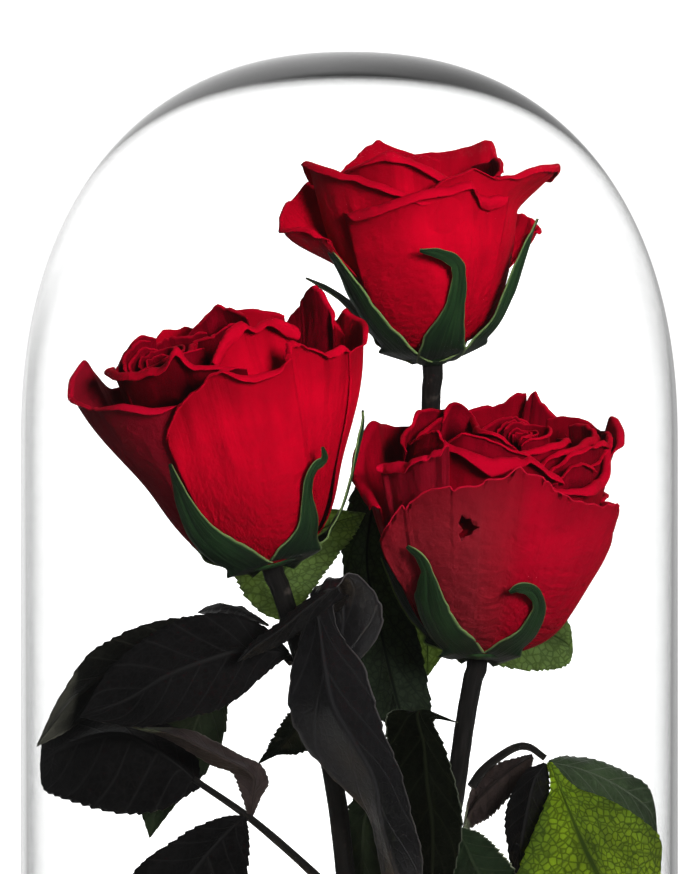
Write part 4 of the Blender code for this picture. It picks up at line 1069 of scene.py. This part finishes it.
def wood_material():
    n = Nodes("dressed wood")
    place = n.add("ShaderNodeTexCoord").outputs
    grain = n.noise(place["Object"], 1.0, 6.0, (14, 260, 120))
    bands = n.noise(place["Object"], 1.0, 3.0, (5, 60, 30))
    pores = n.noise(place["Object"], 1.0, 4.0, (90, 1500, 900))
    colour = n.mix(n.ramp(bands, 0.3, 0.7), (0.62, 0.42, 0.24), (0.74, 0.55, 0.35))
    colour = n.mix(n.math("MULTIPLY", n.ramp(grain, 0.45, 0.7), 0.6), colour, (0.46, 0.29, 0.15))
    colour = n.mix(n.math("MULTIPLY", n.ramp(pores, 0.6, 0.72), 0.4), colour, (0.33, 0.2, 0.1))
    relief = n.bump(n.math("ADD", grain, pores), 0.25, 0.0004)
    n.skin(colour, relief, Roughness=0.42, Coat_Weight=0.15, Coat_Roughness=0.3)
    return n.material


def glass_material():
    n = Nodes("dressed glass")
    n.shader.inputs["Base Color"].default_value = (1, 1, 1, 1)
    n.shader.inputs["Roughness"].default_value = 0.0
    n.shader.inputs["Transmission Weight"].default_value = 1.0
    n.shader.inputs["IOR"].default_value = 1.47
    path = n.add("ShaderNodeLightPath")
    clear = n.add("ShaderNodeBsdfTransparent")
    clear.inputs["Color"].default_value = (0.93, 0.94, 0.94, 1)
    n.surface(n.math("MAXIMUM", path.outputs["Is Shadow Ray"], path.outputs["Is Diffuse Ray"]), clear)
    volume = n.add("ShaderNodeVolumeAbsorption")
    volume.inputs["Color"].default_value = (0.36, 0.42, 0.4, 1)
    volume.inputs["Density"].default_value = 22.0
    n.join(volume.outputs[0], n.output.inputs["Volume"])
    return n.material


# Stage


def add_stage():
    """A pale round floor that fades out at its edge, studio light and the camera."""
    n = Nodes("pale floor")
    place = n.add("ShaderNodeTexCoord")
    away = n.add("ShaderNodeVectorMath", operation="LENGTH")
    n.join(place.outputs["Object"], away.inputs[0])
    grain = n.noise(place.outputs["Object"], 40.0, 3.0)
    n.join(n.mix(grain, (0.8, 0.8, 0.8), (0.86, 0.86, 0.86)), n.shader.inputs["Base Color"])
    n.shader.inputs["Roughness"].default_value = 0.7
    clear = n.add("ShaderNodeBsdfTransparent")
    n.surface(n.ramp(away.outputs["Value"], *FLOOR_FADE), clear)
    sides = FLOOR_SIDES
    angle = np.linspace(0, 2 * np.pi, sides + 1)[:-1]
    rings = [
        np.stack([r * np.cos(angle), r * np.sin(angle), np.full(sides, -FLOOR_DROP)], axis=1)
        for r in FLOOR_RINGS]
    faces = [list(range(sides))]
    for k in (0, 1):
        for i in range(sides):
            j = (i + 1) % sides
            faces.append([sides * k + i, sides * (k + 1) + i, sides * (k + 1) + j, sides * k + j])
    floor = make("floor", np.concatenate(rings), faces, n.material, smooth=False)
    floor.visible_glossy = False

    world = bpy.data.worlds.new("studio")
    bpy.context.scene.world = world
    world.use_nodes = True
    tree = world.node_tree
    background = tree.nodes["Background"]
    background.inputs["Color"].default_value = (1, 1, 1, 1)
    place = tree.nodes.new("ShaderNodeTexCoord")
    split = tree.nodes.new("ShaderNodeSeparateXYZ")
    tree.links.new(place.outputs["Generated"], split.inputs[0])

    def blend(source, low, high, start, end):
        node = tree.nodes.new("ShaderNodeMapRange")
        for key, value in (("From Min", low), ("From Max", high), ("To Min", start), ("To Max", end)):
            socket = node.inputs[key]
            if isinstance(value, (int, float)):
                socket.default_value = value
            else:
                tree.links.new(value, socket)
        tree.links.new(source, node.inputs["Value"])
        return node.outputs[0]

    path = tree.nodes.new("ShaderNodeLightPath")
    plain = blend(split.outputs["Z"], 0.35, 0.8, 1.15, 0.45)
    through = blend(split.outputs["Z"], 0.35, 0.8, 2.1, 0.5)
    ahead = blend(split.outputs["X"], -0.05, 0.2, 0.95, 0.5)
    upward = blend(split.outputs["Z"], 0.05, 0.4, 0.0, 0.25)
    level = tree.nodes.new("ShaderNodeMath")
    tree.links.new(split.outputs["Y"], level.inputs[0])
    tree.links.new(upward, level.inputs[1])
    mirrored = blend(level.outputs[0], 0.84, 0.95, 0.02, ahead)
    soft = blend(split.outputs["Y"], -0.3, 0.7, 0.03, 0.3)
    strength = blend(path.outputs["Transmission Depth"], 0, 1, plain, through)
    strength = blend(path.outputs["Glossy Depth"], 0, 1, strength, mirrored)
    strength = blend(path.outputs["Diffuse Depth"], 0, 1, strength, soft)
    tree.links.new(strength, background.inputs["Strength"])

    for name, where, target, size, power in (
        ("key", (0.52, -1.24, 0.46), (0, 0, 0.24), 0.36, 2.35),
        ("fill", (-0.3, -1.3, 0.3), (0, 0, 0.2), 0.6, 1.2),
        ("back", (0.2, 1.3, 0.55), (0, 0, 0.2), 0.9, 10),
    ):
        data = bpy.data.lights.new(name, "AREA")
        data.size, data.energy, data.spread = size, power, math.radians(KEY_SPREAD if name == "key" else 180)
        lamp = bpy.data.objects.new(name, data)
        lamp.location = where
        lamp.rotation_euler = (Vector(target) - Vector(where)).to_track_quat("-Z", "Y").to_euler()
        lamp.visible_glossy = False
        lamp.visible_transmission = False
        lamp.visible_camera = False
        bpy.context.scene.collection.objects.link(lamp)

    data = bpy.data.cameras.new("camera")
    data.sensor_width, data.sensor_fit = 36, "AUTO"
    data.lens = CAMERA_LENS
    data.clip_end = 20
    camera = bpy.data.objects.new("camera", data)
    camera.location = CAMERA_PLACE
    camera.rotation_euler = (math.radians(90), 0, 0)
    bpy.context.scene.collection.objects.link(camera)
    bpy.context.scene.camera = camera
    bpy.context.scene.view_settings.view_transform = "Standard"


add_stage()
# Each petal's look: its deep, middle and lip colours, with more values where it needs them. The deep
# colour is mostly painted shade: towards the foot, along the folds and under the lip.
PETAL_COLOURS = {
    "red": dict(
        name="red petal", deep=(0.11, 0.0001, 0.003), mid=(0.34, 0.0002, 0.009), lip=(0.3, 0.0002, 0.009)),
    # Painted shade: a darker copy of the red for the right rose, with the shade reaching far up each petal.
    "shaded": dict(
        name="red petal in painted shade", deep=(0.04, 0.0001, 0.0015), mid=(0.2, 0.0002, 0.006),
        lip=(0.26, 0.0002, 0.009), shade_rise=(0.3, 0.93)),
    # A duller, purpler red, also darker as painted shade.
    "dull_and_shade": dict(
        name="dull petal", deep=(0.09, 0.0006, 0.004), mid=(0.24, 0.0006, 0.01), lip=(0.3, 0.0006, 0.012),
        dull_and_shade=(0.11, 0.003, 0.008)),
    # Its left part takes the dull colour: painted shade and a painted glass reflection over a real bruise.
    "shield": dict(
        name="torn petal", deep=(0.1, 0.0005, 0.004), mid=(0.26, 0.0005, 0.009), lip=(0.32, 0.003, 0.016),
        dull_and_shade=(0.085, 0.008, 0.011), dull_and_shade_until=0.42, relief=0.9),
    # Painted shade: near black until close to the rim, as the shade inside the left rose's hollow.
    "hollow": dict(
        name="hollow petal in painted shade", deep=(0.004, 0.0001, 0.0004), mid=(0.16, 0.0002, 0.005),
        lip=(0.28, 0.0002, 0.009), shade_rise=(0.84, 0.94)),
    # Painted shade: dark until close to the rim, as the shade between the inner petals.
    "heart": dict(
        name="inner red petal in painted shade", deep=(0.01, 0.0001, 0.0008), mid=(0.17, 0.0002, 0.006),
        lip=(0.28, 0.0002, 0.009), shade_rise=(0.55, 0.94)),
}
# Each leaf's look: the colours of its face and veins, with more values where it needs them
LEAF_COLOURS = {
    "dark": dict(face=(0.0032, 0.0029, 0.003), vein=(0.009, 0.0085, 0.0085)),
    "glossy": dict(face=(0.0035, 0.0032, 0.0035), vein=(0.009, 0.0085, 0.009), roughness=0.3, gloss=0.65,
                   edge=(0.045, 0.04, 0.04)),
    "deep": dict(face=(0.0015, 0.0019, 0.001), vein=(0.005, 0.006, 0.003), gloss=0.12,
                 edge=(0.05, 0.055, 0.04)),
    "pale": dict(face=(0.004, 0.004, 0.0033), vein=(0.014, 0.014, 0.011), tip=((0.06, 0.058, 0.045), 0.76)),
    "brown": dict(face=(0.03, 0.021, 0.02), vein=(0.012, 0.01, 0.009), edge=(0.1, 0.09, 0.08),
                  tip=((0.1, 0.11, 0.07), 0.86), through=(0.2, 0.14, 0.1), share=0.12),
    "olive": dict(face=(0.011, 0.016, 0.008), vein=(0.022, 0.028, 0.015), through=(0.08, 0.14, 0.02),
                  share=0.15),
    "rimmed": dict(face=(0.006, 0.011, 0.005), vein=(0.014, 0.02, 0.01), edge=(0.16, 0.17, 0.12)),
    "veined": dict(face=(0.014, 0.019, 0.012), vein=(0.003, 0.004, 0.003), through=(0.12, 0.17, 0.06),
                   share=0.35, net=0.5),
    "green": dict(face=(0.06, 0.09, 0.035), vein=(0.01, 0.016, 0.007), through=(0.6, 0.76, 0.26), share=0.5,
                  net=0.6),
    "grey": dict(face=(0.02, 0.032, 0.014), vein=(0.05, 0.06, 0.04), roughness=0.34, gloss=0.5),
    "bright": dict(face=(0.05, 0.1, 0.008), vein=(0.012, 0.024, 0.005), through=(0.85, 1.0, 0.05), share=0.6,
                   net=0.85),
}
petal_looks = {key: petal_material(**values) for key, values in PETAL_COLOURS.items()}
leaf_looks = {key: leaf_material(key + " leaf", **values) for key, values in LEAF_COLOURS.items()}
for number, name in enumerate(ROSES):
    add_flower(name, number, petal_looks)
sepal_look, stem_look = sepal_material(), stem_material()
for number, name in enumerate(ROSES):
    add_calyx(name, number, sepal_look)
add_leaves(leaf_looks)
add_stems(stem_look)
add_base(wood_material())
add_dome(glass_material())
